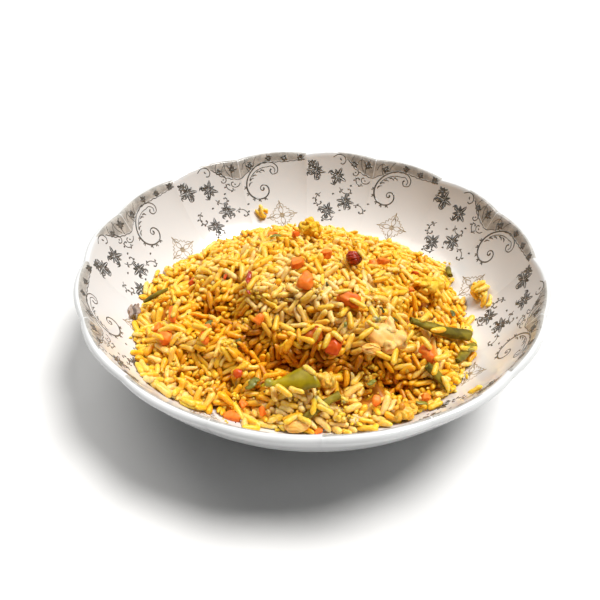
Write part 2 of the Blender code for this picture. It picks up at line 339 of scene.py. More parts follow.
def porcelain_material():
    """White glaze, with the border's grey ground printed along the brim."""
    look = Nodes("porcelain_glaze")
    split = look.add("ShaderNodeSeparateXYZ", {"Vector": look.where()})
    x, y, z = (look.out(split, axis) for axis in range(3))
    turns = (look.math("ARCTAN2", y, x) - NOTCH_TURN) / REPEAT_TURN
    share = look.math("FRACT", turns + float(REPEATS))
    stops = [(at, *(depth / GROUND_SCALE,) * 3) for at, depth in GROUND]
    ground_depth = look.ramp(share, *stops) * (GROUND_SCALE * MM)
    notch = 1.0 - abs(look.math("SINE", turns * (math.pi * 2)))
    brim = RIM_HEIGHT * MM - notch * (SCALLOP_DIP * MM)
    edge = ground_depth - (brim - z) * WALL_LEAN
    sharp = 1 / (GROUND_SOFTNESS * MM)
    ground = look.math("MULTIPLY", edge, sharp, clamp=True)
    crease = look.math("MULTIPLY", abs(share - 0.5) - 0.001, 300.0, clamp=True)
    ground = ground * crease
    share_out = look.math("SQRT", x ** 2.0 + y ** 2.0) / (MOUTH_RADIUS * MM)
    wall = share_out ** WALL_POWER * (WALL_RISE * MM)
    proud = z - FLOOR_HEIGHT * MM - wall
    ground = ground * look.math("MULTIPLY", proud + GROUND_REACH * MM, sharp, clamp=True)
    mottle = look.ramp(look.noise(260, 4), (0.35, 0.56, 0.535, 0.495), (0.62, 0.38, 0.365, 0.34))
    dots = look.add("ShaderNodeTexVoronoi", {"Vector": look.where(), "Scale": 1150.0})
    speck = look.ramp(look.out(dots, "Distance"), (0.16, 0.66, 0.66, 0.66), (0.34, 1.0, 1.0, 1.0))
    mottle = look.blend(1.0, mottle, speck, "MULTIPLY")
    white = look.ramp(look.noise(14, 2), (0.3, 0.715, 0.725, 0.73), (0.7, 0.755, 0.77, 0.78))
    colour = look.blend(ground, white, mottle)
    crest = notch ** 5.0 * share_out ** 5.0
    look.bump(look.noise(60, 2) * 0.35 + crest, 0.35, 1.0)
    return look.set(Base_Color=colour, Roughness=0.16, Specular_IOR_Level=0.5, Coat_Weight=0.2,
                    Coat_Roughness=0.08)


def ink_material(name, dark, pale, metallic, roughness):
    look = Nodes(name)
    colour = look.ramp(look.noise(420, 3), (0.35, *dark), (0.7, *pale))
    return look.set(Base_Color=colour, Roughness=roughness, Metallic=metallic, Coat_Weight=0.4,
                    Coat_Roughness=0.08)


# Colours of the grains: a place among the tones, and a red, a green and a blue.
GOLD = ((0.05, 0.84, 0.375, 0.005), (0.36, 0.93, 0.465, 0.013), (0.62, 0.95, 0.54, 0.055),
        (0.95, 0.97, 0.63, 0.24))
# PALE mostly marks painted light on grains, AMBER mostly painted shade; a few of each are random.
PALE = ((0.05, 0.90, 0.46, 0.03), (0.45, 0.95, 0.55, 0.105), (0.95, 0.97, 0.65, 0.30))
AMBER = ((0.05, 0.52, 0.19, 0.003), (0.45, 0.84, 0.375, 0.006), (0.95, 0.93, 0.51, 0.03))
RICE_SOFTNESS = 3.2


def rice_material(name, stops, roughness=0.40):
    """A cooked grain: its tone and a fine noise pick the colour, and light sinks into it."""
    look = Nodes(name)
    streak = look.noise(900, 3)
    patch = look.noise(190, 2)
    tone = look.tone() + (streak - 0.5) * 1.1
    colour = look.ramp(tone + (patch - 0.5) * 0.55, *stops)
    look.bump(look.noise(900, 4), 0.32, 0.5)
    return look.set(Base_Color=colour, Roughness=roughness, Subsurface_Weight=0.85,
                    Subsurface_Radius=(1.0, 0.92, 0.4), Subsurface_Scale=RICE_SOFTNESS * MM,
                    Specular_IOR_Level=0.5)


# Looks of the cooked pieces: roughness, swells per metre, bump in millimetres, coat, softness,
# and the colours from the darkest to the palest, each with its place among the tones.
FOODS = {
    "bean_skin": (0.5, 420, 0.45, 0.04, 0.15, (0.25, 0.075, 0.056, 0.002),
                  (0.48, 0.175, 0.135, 0.005), (0.72, 0.36, 0.27, 0.015)),
    "bright_bean_skin": (0.42, 300, 0.2, 0.1, 0.25, (0.25, 0.22, 0.165, 0.001),
                         (0.5, 0.36, 0.27, 0.0015), (0.8, 0.52, 0.39, 0.004)),
    "bean_flesh": (0.35, 500, 0.1, 0.3, 0.3, (0.3, 0.22, 0.20, 0.012), (0.7, 0.42, 0.38, 0.05)),
    "carrot_flesh": (0.48, 420, 0.4, 0.05, 0.35, (0.25, 0.74, 0.125, 0.006),
                     (0.5, 0.92, 0.21, 0.015), (0.8, 0.96, 0.36, 0.06)),
    "cooked_pepper": (0.3, 330, 0.2, 0.3, 0.3, (0.25, 0.28, 0.040, 0.003),
                      (0.5, 0.48, 0.090, 0.007), (0.8, 0.66, 0.20, 0.02)),
    "red_pepper_skin": (0.35, 330, 0.3, 0.15, 0.25, (0.25, 0.40, 0.035, 0.003),
                        (0.5, 0.64, 0.085, 0.008), (0.8, 0.80, 0.20, 0.02)),
    "dark_pepper_skin": (0.25, 330, 0.2, 0.4, 0.2, (0.25, 0.20, 0.010, 0.003),
                         (0.5, 0.40, 0.032, 0.008), (0.8, 0.58, 0.10, 0.03)),
    "shredded_meat": (0.45, 520, 0.25, 0.1, 0.5, (0.22, 0.86, 0.42, 0.06),
                      (0.46, 0.95, 0.55, 0.15), (0.75, 0.97, 0.66, 0.27)),
    "browned_meat": (0.45, 480, 0.25, 0.1, 0.4, (0.22, 0.55, 0.21, 0.010),
                     (0.5, 0.84, 0.40, 0.025), (0.78, 0.94, 0.55, 0.10)),
    "yellow_curd": (0.45, 420, 0.2, 0.12, 0.4, (0.22, 0.78, 0.40, 0.012),
                    (0.46, 0.90, 0.52, 0.03), (0.75, 0.95, 0.66, 0.12)),
    "spiced_curd": (0.45, 420, 0.2, 0.12, 0.35, (0.22, 0.40, 0.17, 0.006),
                    (0.46, 0.80, 0.42, 0.008), (0.75, 0.90, 0.56, 0.04)),
    "mushroom_skin": (0.38, 300, 0.16, 0.25, 0.2, (0.25, 0.10, 0.062, 0.045),
                      (0.5, 0.25, 0.18, 0.14), (0.75, 0.50, 0.40, 0.33)),
    "herb_leaf": (0.4, 500, 0.15, 0.15, 0.1, (0.30, 0.012, 0.014, 0.005),
                  (0.60, 0.060, 0.064, 0.010), (1.0, 0.24, 0.23, 0.03)),
    # The rice core is dark brown, a dark sheet that stands for the shade deep between the grains:
    # painted shade.
    "packed_rice_painted_shade": (0.5, 300, 0.5, 0.1, 0.2, (0.25, 0.24, 0.07, 0.002),
                    (0.5, 0.42, 0.14, 0.005), (0.8, 0.62, 0.26, 0.012)),
    "spice_specks": (0.5, 900, 0.05, 0.3, 0.15, (0.3, 0.03, 0.015, 0.006),
                     (0.9, 0.16, 0.08, 0.02)),
}
STRETCHED = {"shredded_meat": (0.5, 1.0, 1.0)}
FOOD_SOFTNESS = 1.5


def food_material(name):
    """A cooked piece: noise picks its colour and raises its skin."""
    if name in bpy.data.materials:
        return bpy.data.materials[name]
    roughness, grain, bump, coat, soft, *stops = FOODS[name]
    look = Nodes(name)
    swell = look.noise(grain, 5, STRETCHED.get(name))
    broad = look.noise(grain / 4, 2)
    mixed = swell * 0.55 + broad * 0.45
    colour = look.ramp(mixed + look.tone(), *stops)
    look.bump(swell, bump, 0.7)
    return look.set(Base_Color=colour, Roughness=roughness, Subsurface_Weight=soft,
                    Subsurface_Radius=(1.0, 0.5, 0.2), Subsurface_Scale=FOOD_SOFTNESS * MM,
                    Specular_IOR_Level=0.28, Coat_Weight=coat, Coat_Roughness=0.2)


def floor_material():
    look = Nodes("pale_floor")
    colour = look.ramp(look.noise(3, 2), (0.3, 0.79, 0.79, 0.79), (0.7, 0.81, 0.81, 0.81))
    return look.set(Base_Color=colour, Roughness=0.9, Specular_IOR_Level=0.1)


# ---------------------------------------------------------------- the bowl

def well_height(radius):
    return FLOOR_HEIGHT + WALL_RISE * (radius / MOUTH_RADIUS) ** WALL_POWER


def well_slope(radius):
    return WALL_RISE * WALL_POWER / MOUTH_RADIUS * (radius / MOUTH_RADIUS) ** (WALL_POWER - 1)


def flute(points):
    """Draw the brim in and down at the notches, less and less down the wall."""
    turn = azimuth_of(points) - NOTCH_TURN
    swell = np.abs(np.sin(turn * SCALLOPS / 2)) ** SCALLOP_POWER
    notch = smooth_step((points[..., 2] - RIM_HEIGHT + FLUTE_LENGTH) / FLUTE_LENGTH) * (1 - swell)
    shrink = 1 - SCALLOP_DEPTH / RIM_RADIUS * notch
    return np.stack([points[..., 0] * shrink, points[..., 1] * shrink,
                     points[..., 2] - SCALLOP_DIP * notch], axis=-1)


def bowl_profile():
    """Half section: up the inside, round the lip, down the outside and under the foot."""
    radius = MOUTH_RADIUS * np.linspace(0.02, 0.985, 46) ** 0.7
    inside = np.stack([radius, well_height(radius)], axis=1)
    middle = np.array([RIM_RADIUS - LIP_RADIUS, RIM_HEIGHT - LIP_RADIUS])
    lip = middle + LIP_RADIUS * circled(1.0, np.radians(np.linspace(128, -12, 12)))
    radius = np.linspace(102.5, FOOT_OUTER_RADIUS + 2.5, 26)
    slope = np.arctan(well_slope(radius))
    outside = np.stack([radius + WALL_THICKNESS * np.sin(slope),
                        well_height(radius) - WALL_THICKNESS * np.cos(slope)], axis=1)
    outer, inner, under = FOOT_OUTER_RADIUS, FOOT_INNER_RADIUS, UNDERSIDE_HEIGHT
    bend = np.radians(np.linspace(0, 90, 4))
    foot = [(outer + 0.6, FOOT_ROOT_HEIGHT), (outer, FOOT_ROOT_HEIGHT - 1)]
    foot += [(outer - FOOT_BEND + FOOT_BEND * math.cos(a), FOOT_BEND - FOOT_BEND * math.sin(a))
             for a in bend[1:]]
    foot += [(inner + FOOT_BEND - FOOT_BEND * math.sin(a), FOOT_BEND - FOOT_BEND * math.cos(a))
             for a in bend]
    foot += [(inner, under - 0.6), (inner - 0.6, under), (40.0, under), (3.0, under)]
    return np.vstack([inside, lip, outside, foot])


def make_bowl():
    profile = bowl_profile()
    azimuth = NOTCH_TURN - FULL_TURN * np.arange(BOWL_STEPS) / BOWL_STEPS
    shape = Shape()
    shape.add_loft(flute(circled(profile[:, :1], azimuth, profile[:, 1:])),
                   [(0, 0, FLOOR_HEIGHT), (0, 0, UNDERSIDE_HEIGHT)])
    bowl = shape.make("porcelain_bowl", porcelain_material(), "porcelain")
    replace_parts(bowl, "bowl")


# ---------------------------------------------------------------- the printed border

WALL_RADII = np.linspace(1.0, MOUTH_RADIUS, 1051)
WALL_STEPS = np.hypot(np.diff(WALL_RADII), np.diff(well_height(WALL_RADII)))
WALL_DEPTHS = np.append(np.cumsum(WALL_STEPS[::-1])[::-1], 0.0)


def radius_at(depth):
    """Radius of the well so many millimetres down its side from the mouth."""
    return np.interp(depth, WALL_DEPTHS[::-1], WALL_RADII[::-1])


def on_wall(azimuth, depth, height):
    radius = radius_at(depth)
    slope = np.arctan(well_slope(radius))
    return flute(circled(radius - height * np.sin(slope), azimuth,
                         well_height(radius) + height * np.cos(slope)))


class Print:
    """Brush strokes on the wall, drawn once and repeated round the bowl."""

    def __init__(self):
        self.shape = Shape()

    def stroke(self, motif, points, width):
        """A stroke in millimetres round a motif's middle: u along the brim, v towards it."""
        azimuth, depth, turn, size = motif
        points = np.asarray(points, float) * size
        cosine, sine = math.cos(turn), math.sin(turn)
        points = points @ np.array([[cosine, sine], [-sine, cosine]])
        width = np.interp(np.linspace(0, 1, len(points)), np.linspace(0, 1, len(width)), width)
        along = unit(np.gradient(points, axis=0))
        across = np.stack([-along[:, 1], along[:, 0]], axis=1) * width[:, None] / 2
        corners = []
        for side, height in ((1, INK_HEIGHT), (-1, INK_HEIGHT), (-1, -INK_DEPTH), (1, -INK_DEPTH)):
            flat = points + across * side
            place_depth = np.clip(depth - flat[:, 1], 0.4, None)
            place_azimuth = azimuth + flat[:, 0] / radius_at(place_depth)
            corners.append((place_azimuth, place_depth, height))
        for repeat in range(REPEATS):
            shift = repeat * REPEAT_TURN
            rings = np.stack([on_wall(a + shift, d, h) for a, d, h in corners], axis=1)
            self.shape.add_loft(rings, [rings[0].mean(0), rings[-1].mean(0)])


def motif_at(radius, degrees, turn=0.0, size=1.0):
    depth = float(np.interp(radius, WALL_RADII, WALL_DEPTHS))
    return math.radians(degrees), depth, math.radians(turn), size


def spiral(first, last, start, end, steps):
    """A spiral from one angle to another, in degrees, whose radius grows evenly in share."""
    radius = start * (end / start) ** np.linspace(0, 1, steps)
    return circled(radius, np.radians(np.linspace(first, last, steps)))


def comma(start, end, bow):
    """A short bowed stroke from one point to another."""
    start, end = np.array(start, float), np.array(end, float)
    side = np.array([start[1] - end[1], end[0] - start[0]]) * bow
    return curve_through([start, (start + end) / 2 + side, end], 3)


def draw_scroll(ink, motif):
    """A C-scroll: a spiral that opens over a feathered arch and ends in a curl."""
    first, last, start, end = -20, 462, 1.15, 15.4
    arm = spiral(first, last, start, end, 64)
    ink.stroke(motif, arm, (0.5, 0.62, 0.75, 0.8, 0.95, 0.7))
    ink.stroke(motif, spiral(first, -250, start, 0.55, 8), (0.6, 1.2))
    curl = arm[-1] + [(0, 0), (-4.4, -0.7), (-7.2, -3.4), (-6.8, -6.6), (-4.0, -7.4),
                      (-2.7, -5.6), (-3.5, -4.3)]
    ink.stroke(motif, curve_through(curl, 5), (0.7, 0.6, 0.5, 0.6, 0.9))
    inner = spiral(402, 470, 9.6, 12.9, 18)
    ink.stroke(motif, inner, (0.3, 0.5, 0.45, 0.4))
    hook = inner[-1] + [(0, 0), (-2.6, 0.2), (-4.4, -1.7), (-3.9, -3.6)]
    ink.stroke(motif, curve_through(hook, 4), (0.4, 0.45, 0.4))
    for degrees, radius, length in ((380, 8.4, 3.4), (400, 9.1, 3.0), (418, 9.6, 2.8),
                                    (436, 10.4, 3.2), (450, 10.9, 3.0)):
        root = polar(radius, math.radians(degrees))
        tip = root + polar(length, math.radians(degrees + 118))
        ink.stroke(motif, comma(root, tip, -0.22), (0.25, 0.9, 0.7, 0.2))
    for degrees, lean in itertools.product((262, 292, 318, 350, 374), (-24, 22)):
        reach = start * (end / start) ** ((degrees - first) / (last - first))
        root = polar(reach, math.radians(degrees))
        tip = root + polar(1.9, math.radians(degrees + lean))
        ink.stroke(motif, comma(root, tip, 0.12), (0.3, 0.85, 0.3))


STAR_REACHES = (5.4, 3.9, 4.9, 3.5, 5.1, 4.2)


def draw_star(ink, motif, rays=8):
    """A flower of pointed petals of uneven length, each of two strokes, round a small ring."""
    for ray, lean in itertools.product(range(rays), (-0.13, 0.13)):
        angle = FULL_TURN * (ray + 0.12 * math.sin(ray * 5)) / rays
        reach = STAR_REACHES[ray % len(STAR_REACHES)]
        petal = [polar(0.8, angle + 2 * lean), polar(reach * 0.55, angle + 1.6 * lean),
                 polar(reach, angle + 0.3 * lean)]
        ink.stroke(motif, curve_through(petal, 3), (0.3, 0.85, 0.75, 0.2))
    ink.stroke(motif, spiral(0, 300, 0.5, 0.6, 7), (0.6, 0.6))


def draw_sprig(ink, motif, leaves, bend):
    """A bowed stem with small commas beside it, ending in a hook with a bud."""
    stem = np.array([(0, 0), (2.4, 1.5), (5.2, 1.7), (7.6, 0.2), (7.9, -1.8), (6.5, -2.7),
                     (5.5, -1.8)])
    stem = curve_through(stem * (1, bend), 5)
    ink.stroke(motif, stem, (0.4, 0.5, 0.55, 0.45, 0.7, 1.0))
    for share in np.linspace(0.1, 0.55, leaves):
        root = stem[int(share * (len(stem) - 1))]
        for lean, reach in ((62, 2.3), (-48, 1.9)):
            angle = math.radians(lean) * bend
            leaf = comma(root + polar(0.5, angle), root + polar(reach, angle), 0.2)
            ink.stroke(motif, leaf, (0.4, 1.0, 0.9, 0.3))


def draw_curl(ink, motif):
    """A small open curl with a bud inside."""
    ink.stroke(motif, curve_through([(4.6, 1.6), (2.0, 2.6), (-0.8, 1.6), (-1.6, -0.8),
                                     (-0.2, -2.4), (1.2, -1.9)], 4), (0.45, 0.55, 0.5, 0.7))
    ink.stroke(motif, comma((1.0, 0.8), (0.6, -0.6), 0.1), (0.3, 0.9, 0.3))


def draw_medallion(ink, motif):
    """A square filigree: a rosette, a heart towards each corner and a looped edge."""
    azimuth, depth, turn, size = motif
    heart = curve_through([(0.4, 0.4), (1.2, 3.1), (3.2, 4.4), (4.6, 3.6), (3.8, 2.6), (5.6, 5.6),
                           (2.6, 3.8), (3.6, 4.6), (4.4, 3.2), (3.1, 1.2), (0.4, 0.4)], 3)
    edge = curve_through([(5.9, 5.9), (6.2, 3.4), (5.0, 2.2), (6.3, 1.1), (5.2, 0.0), (6.3, -1.1),
                          (5.0, -2.2), (6.2, -3.4), (5.9, -5.9)], 3)
    for quarter in range(4):
        turned = (azimuth, depth, turn + quarter * math.pi / 2, size)
        ink.stroke(turned, heart, (0.34, 0.42, 0.34))
        ink.stroke(turned, edge, (0.42, 0.36, 0.42))
        ink.stroke(turned, spiral(20, 400, 0.5, 1.7, 14), (0.3, 0.4))
        ink.stroke(turned, comma((5.6, 5.6), (7.1, 7.1), 0.0), (0.4, 0.8, 0.3))
    for ray in range(6):
        ink.stroke(motif, comma((0.2, 0.1), polar(1.5, FULL_TURN * ray / 6), 0.1), (0.4, 0.8, 0.3))


def draw_ground(ink):
    """The line along the ground's lower edge, its cross lines and the small dark florets."""
    at, depth = np.array(GROUND).T
    share = np.linspace(0.02, 0.71, 60)
    azimuth = NOTCH_TURN + share * REPEAT_TURN
    reach = np.interp(share, at, depth) + 0.2 * np.sin(share * 150)
    line = np.stack([(azimuth - NOTCH_TURN) * 104, -reach * 1.06], axis=1)
    ink.stroke((NOTCH_TURN, 0.0, 0.0, 1.0), line, (0.4, 0.5, 0.4, 0.5, 0.5))
    for degrees, down, size in ((3.2, 2.4, 0.50), (8.6, 3.2, 0.42), (13.5, 2.6, 0.42),
                                (20.2, 4.6, 0.46), (26.0, 4.4, 0.55), (30.6, 5.4, 0.42),
                                (44.6, 5.6, 0.62)):
        draw_star(ink, (math.radians(degrees), down, math.radians(degrees * 31), size), 7)
    for degrees, lean in ((17.5, 2.4), (21.4, -1.6), (25.4, 2.2), (28.4, -2.0), (30.8, 1.4)):
        span = float(np.interp((degrees - 1.3) / 45, at, depth))
        line = comma((0, -0.5), (lean, -span), 0.1)
        ink.stroke((math.radians(degrees), 0.0, 0.0, 1.0), line, (0.35, 0.3, 0.4))
    arch = curve_through([(-3.4, -6.6), (-1.8, -3.2), (0.6, -1.6), (3.0, -3.0), (4.2, -6.4)], 4)
    for degrees in (21.0, 27.8):
        ink.stroke((math.radians(degrees), 0.6, 0.0, 0.8), arch, (0.35, 0.3, 0.35))


def make_print():
    line, flowers, medallions = Print(), Print(), Print()
    draw_ground(line)
    draw_scroll(line, motif_at(95.8, 16.9))
    for degrees, depth, turn, size in ((34.6, 3.6, -10, 1.15), (29.6, 10.6, 60, 0.72),
                                       (26.6, 14.0, 150, 0.8)):
        draw_curl(line, (math.radians(degrees), depth, math.radians(turn), size))
    for radius, degrees, turn, size, leaves, bend in (
            (95.6, 34.6, 205, 0.85, 2, 1), (93.4, 41.2, -72, 0.9, 3, 1),
            (89.4, 28.6, -160, 0.85, 2, -1), (83.6, 35.6, -20, 0.8, 2, -1),
            (97.4, 26.6, 30, 0.7, 2, -1)):
        draw_sprig(line, motif_at(radius, degrees, turn, size), leaves, bend)
    bud = comma((-0.6, 0.2), (0.7, -0.2), 0.2)
    for radius, degrees in ((93.0, 36.6), (96.6, 30.6), (91.0, 23.2), (86.4, 33.4), (80.8, 39.8)):
        line.stroke(motif_at(radius, degrees), bud, (0.5, 1.1, 0.5))

    for radius, degrees, turn, size in ((101.1, 43.0, 10, 1.1), (99.4, 35.6, 24, 1.1),
                                        (90.7, 31.8, 2, 1.0), (86.3, 38.4, 15, 1.0)):
        draw_star(flowers, motif_at(radius, degrees, turn, size))
        for side, lean in itertools.product((-1, 1), (20, 62, 104)):
            root = (4.2 * side, -2.6)
            tip = root + polar(3.0, math.radians(lean * side + 90 + 50 * side))
            flowers.stroke(motif_at(radius, degrees, turn * 3, size * 0.9),
                           comma(root, tip, 0.15 * side), (0.3, 0.9, 0.6, 0.2))
    draw_medallion(medallions, motif_at(84.1, 11.3, 40, 0.92))

    for ink, name, *look in (
            (line, "border_scrolls", "grey_ink", (0.075, 0.072, 0.066), (0.15, 0.14, 0.125),
             0.0, 0.22),
            (flowers, "border_flowers", "black_ink", (0.035, 0.035, 0.033), (0.14, 0.138, 0.13),
             0.0, 0.25),
            (medallions, "border_medallions", "gold_brown_ink", (0.26, 0.20, 0.12),
             (0.48, 0.40, 0.28), 0.2, 0.35)):
        ink.shape.make(name, ink_material(*look), "porcelain")


# ---------------------------------------------------------------- the mound's surface

class Surface:
    """Height of the mound, and of the well beyond it, on a grid."""

    # The grid's step and reach, how far out the heap is looked for, and from how high.
    STEP = 1.5
    REACH = 105.0
    HEAP_REACH = 90
    SKY = 100
    # How often the heights are smoothed before their slope is taken, and how many parts the
    # heap's edge is measured in.
    SMOOTHINGS = 4
    EDGE_PARTS = 60

    def __init__(self, node):
        points = [vertex.co / MM for vertex in node.data.vertices]
        tree = BVHTree.FromPolygons(points, [tuple(face.vertices) for face in node.data.polygons])
        self.places = np.arange(-self.REACH, self.REACH + self.STEP, self.STEP)
        count = len(self.places)
        heap = np.full((count, count), -1.0)
        for row, column in itertools.product(range(count), repeat=2):
            x, y = self.places[row], self.places[column]
            if math.hypot(x, y) < self.HEAP_REACH:
                hit = tree.ray_cast(Vector((x, y, self.SKY)), Vector((0, 0, -1)))[0]
                if hit is not None:
                    heap[row, column] = hit.z
        x, y = np.meshgrid(self.places, self.places, indexing="ij")
        self.top = np.maximum(heap, well_height(np.minimum(np.hypot(x, y), MOUTH_RADIUS)))
        smooth = self.top.copy()
        for _ in range(self.SMOOTHINGS):
            padded = np.pad(smooth, 1, mode="edge")
            smooth = (padded[:-2, 1:-1] + padded[2:, 1:-1] + padded[1:-1, :-2]
                      + padded[1:-1, 2:] + 2 * smooth) / 6
        self.slope_x, self.slope_y = np.gradient(smooth, self.STEP)
        points = np.array(points)
        bins = np.round(azimuth_of(points) / FULL_TURN * self.EDGE_PARTS).astype(int)
        radius = flat_distance(points)
        self.edge = np.array([radius[bins % self.EDGE_PARTS == one].max()
                              for one in range(self.EDGE_PARTS)])

    def sample(self, grid, points):
        place = np.clip((points[:, :2] + self.REACH) / self.STEP, 0, len(self.places) - 1.001)
        low = place.astype(int)
        share = place - low
        row, column = low[:, 0], low[:, 1]
        near = grid[row, column] * (1 - share[:, 0]) + grid[row + 1, column] * share[:, 0]
        far = grid[row, column + 1] * (1 - share[:, 0]) + grid[row + 1, column + 1] * share[:, 0]
        return near * (1 - share[:, 1]) + far * share[:, 1]

    def height(self, points):
        return self.sample(self.top, points)

    def normal(self, points):
        slope = np.stack([-self.sample(self.slope_x, points), -self.sample(self.slope_y, points),
                          np.ones(len(points))], axis=1)
        return unit(slope)

    def out(self, points, distance):
        """The same points, moved out of the surface, square to it."""
        return points + self.normal(points) * np.asarray(distance)[:, None]

    def above(self, points):
        """How far each point is out of the surface, square to it."""
        return (points[:, 2] - self.height(points)) * self.normal(points)[:, 2]

    def toe_radius(self, azimuth):
        """How far the loose grains lie out, further where they lean on the near wall."""
        near = smooth_step(-1.1 * np.sin(azimuth) - 0.1)
        left = np.exp(-((azimuth - LEFT_TURN) / LEFT_WIDTH) ** 2)
        front = np.exp(-((azimuth + 2.02) / 0.16) ** 2)
        reach = 0.8 + 2.4 * near + 6.4 * left + 3.6 * front + 1.1 * np.sin(13 * azimuth + 1)
        return self.edge_radius(azimuth) + reach

    def edge_radius(self, azimuth):
        place = np.asarray(azimuth) / FULL_TURN * self.EDGE_PARTS % self.EDGE_PARTS
        low = place.astype(int) % self.EDGE_PARTS
        share = place - np.floor(place)
        return self.edge[low] * (1 - share) + self.edge[(low + 1) % self.EDGE_PARTS] * share


SURFACE = Surface(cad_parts["rice_heap"])


def well_gap(points):
    """Distance above the bowl's inside and the direction away from it."""
    radius = flat_distance(points)
    slope = np.arctan(well_slope(np.minimum(radius, MOUTH_RADIUS)))
    gap = (points[:, 2] - well_height(np.minimum(radius, MOUTH_RADIUS))) * np.cos(slope)
    outward = points[:, :2] / np.maximum(radius, 1e-6)[:, None]
    normal = np.concatenate([-outward * np.sin(slope)[:, None], np.cos(slope)[:, None]], axis=1)
    return gap, normal


def clear_of_bowl(points, clearance, most=None):
    """The same points, moved off the bowl's inside wherever they are closer than the clearance."""
    gap, away = well_gap(points)
    return points + away * np.clip(clearance - gap, 0, most)[:, None]


class Resting:
    """Where a topping of the CAD lies: its middle on top, its axes and its sizes."""

    def __init__(self, name):
        points = np.array([vertex.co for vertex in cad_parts[name].data.vertices]) / MM
        self.normal = SURFACE.normal(points.mean(0, keepdims=True))[0]
        first = unit(np.cross([0.0, 1.0, 0.0], self.normal))
        second = np.cross(self.normal, first)
        best = None
        for angle in np.radians(np.arange(0, 180, 2)):
            along = first * math.cos(angle) + second * math.sin(angle)
            across = np.cross(self.normal, along)
            sides = [points @ along, points @ across]
            sizes = [side.max() - side.min() for side in sides]
            if sizes[0] >= sizes[1] and (best is None or sizes[0] * sizes[1] < best[0]):
                best = (sizes[0] * sizes[1], along, across, sides, sizes)
        _, self.along, self.across, sides, (self.length, self.width) = best
        self.middle = (self.along * (sides[0].max() + sides[0].min()) / 2
                       + self.across * (sides[1].max() + sides[1].min()) / 2
                       + self.normal * (points @ self.normal).max())
        if self.along[0] < 0:
            self.along, self.across = -self.along, -self.across

    def size(self, tall):
        return self.length, self.width, tall

    def to_world(self, points, drop=0.0):
        """Points of a piece's own frame, whose top is at a height of zero less the drop."""
        points = np.asarray(points, float)
        axes = np.stack([self.along, self.across, self.normal])
        return points @ axes + self.middle - self.normal * drop


# ---------------------------------------------------------------- packing the grains

def near_pairs(middles, reach):
    """Pairs of points closer than a reach, found by sorting them into cells."""
    cells = np.floor(middles / reach).astype(np.int64)
    cells -= cells.min(0) - 1
    extent = cells.max(0) + 2
    key = (cells[:, 0] * extent[1] + cells[:, 1]) * extent[2] + cells[:, 2]
    order = np.argsort(key, kind="stable")
    sorted_key = key[order]
    found = []
    for step in itertools.product((-1, 0, 1), repeat=3):
        if step < (0, 0, 0):
            continue
        other = key + (step[0] * extent[1] + step[1]) * extent[2] + step[2]
        first = np.searchsorted(sorted_key, other, "left")
        counts = np.searchsorted(sorted_key, other, "right") - first
        left = np.repeat(np.arange(len(key)), counts)
        offset = np.repeat(first - np.cumsum(counts) + counts, counts)
        right = order[np.arange(len(left)) + offset]
        if step == (0, 0, 0):
            left, right = left[left < right], right[left < right]
        found.append(np.stack([left, right], axis=1))
    pairs = np.concatenate(found)
    gap = middles[pairs[:, 0]] - middles[pairs[:, 1]]
    return pairs[dot(gap, gap) < reach * reach]


def nearest_shares(start_a, along_a, start_b, along_b):
    """Where two straight stretches come closest, as shares of their lengths."""
    between = start_a - start_b
    square_a, square_b = dot(along_a, along_a) + 1e-6, dot(along_b, along_b) + 1e-6
    cross = dot(along_a, along_b)
    to_a, to_b = dot(along_a, between), dot(along_b, between)
    share_a = (cross * to_b - to_a * square_b) / np.maximum(square_a * square_b - cross ** 2, 1e-6)
    share_a = np.clip(share_a, 0, 1)
    share_b = np.clip((cross * share_a + to_b) / square_b, 0, 1)
    share_a = np.clip((cross * share_b - to_a) / square_a, 0, 1)
    return share_a, share_b


class Packing:
    """Round-ended rods that are pushed apart until they lie on each other."""

    # How close two rods may come, as a share of the sum of their radii, how close their middles
    # are when they are looked at, in millimetres, and how many steps pass between such looks.
    SQUEEZE = 0.85
    REACH = 11.0
    PAIRING_STEPS = 5
    # Shares of an overlap that one step pushes each rod by.
    PUSH = 0.45
    EASE = 0.6

    def __init__(self, middles, directions, halves, radii, fixed):
        """fixed is how many of the last rods are toppings, which stay where they are."""
        self.middle, self.direction = middles, unit(directions)
        self.half, self.radius = halves, radii
        self.moving = len(middles) - fixed

    def spread(self, steps, hold):
        count = len(self.middle)
        start = self.middle - self.direction * self.half[:, None]
        end = self.middle + self.direction * self.half[:, None]
        for step in range(steps):
            if step % self.PAIRING_STEPS == 0:
                pairs = near_pairs((start + end) / 2, self.REACH)
                pairs = pairs[pairs.min(1) < self.moving]
                one, two = pairs[:, 0], pairs[:, 1]
                touch = self.SQUEEZE * (self.radius[one] + self.radius[two])
            along_one, along_two = end[one] - start[one], end[two] - start[two]
            share_one, share_two = nearest_shares(start[one], along_one, start[two], along_two)
            gap = (start[one] + along_one * share_one[:, None]
                   - start[two] - along_two * share_two[:, None])
            distance = np.maximum(np.linalg.norm(gap, axis=1), 1e-3)
            overlap = touch - distance
            hit = overlap > 0
            push = (gap[hit] / distance[hit, None]) * (overlap[hit, None] * self.PUSH)
            firm = np.where((one[hit] >= self.moving) | (two[hit] >= self.moving), 2.0, 1.0)
            push = push * firm[:, None]
            index = np.concatenate([one[hit], two[hit]])
            pushes = np.concatenate([push, -push])
            shares = np.concatenate([share_one[hit], share_two[hit]])
            weight = 1 / ((1 - shares) ** 2 + shares ** 2)
            for ends, lever in ((start, (1 - shares) * weight), (end, shares * weight)):
                for axis in range(3):
                    ends[:, axis] += np.bincount(index, pushes[:, axis] * lever, count) * self.EASE
                ends[:self.moving] = hold(ends[:self.moving])
            middle = (start + end) / 2
            direction = unit(end - start)
            middle[self.moving:] = self.middle[self.moving:]
            direction[self.moving:] = self.direction[self.moving:]
            direction = np.where(self.half[:, None] > 0.05, direction, self.direction)
            start = middle - direction * self.half[:, None]
            end = middle + direction * self.half[:, None]
        self.middle, self.direction = (start + end) / 2, direction


# ---------------------------------------------------------------- grains

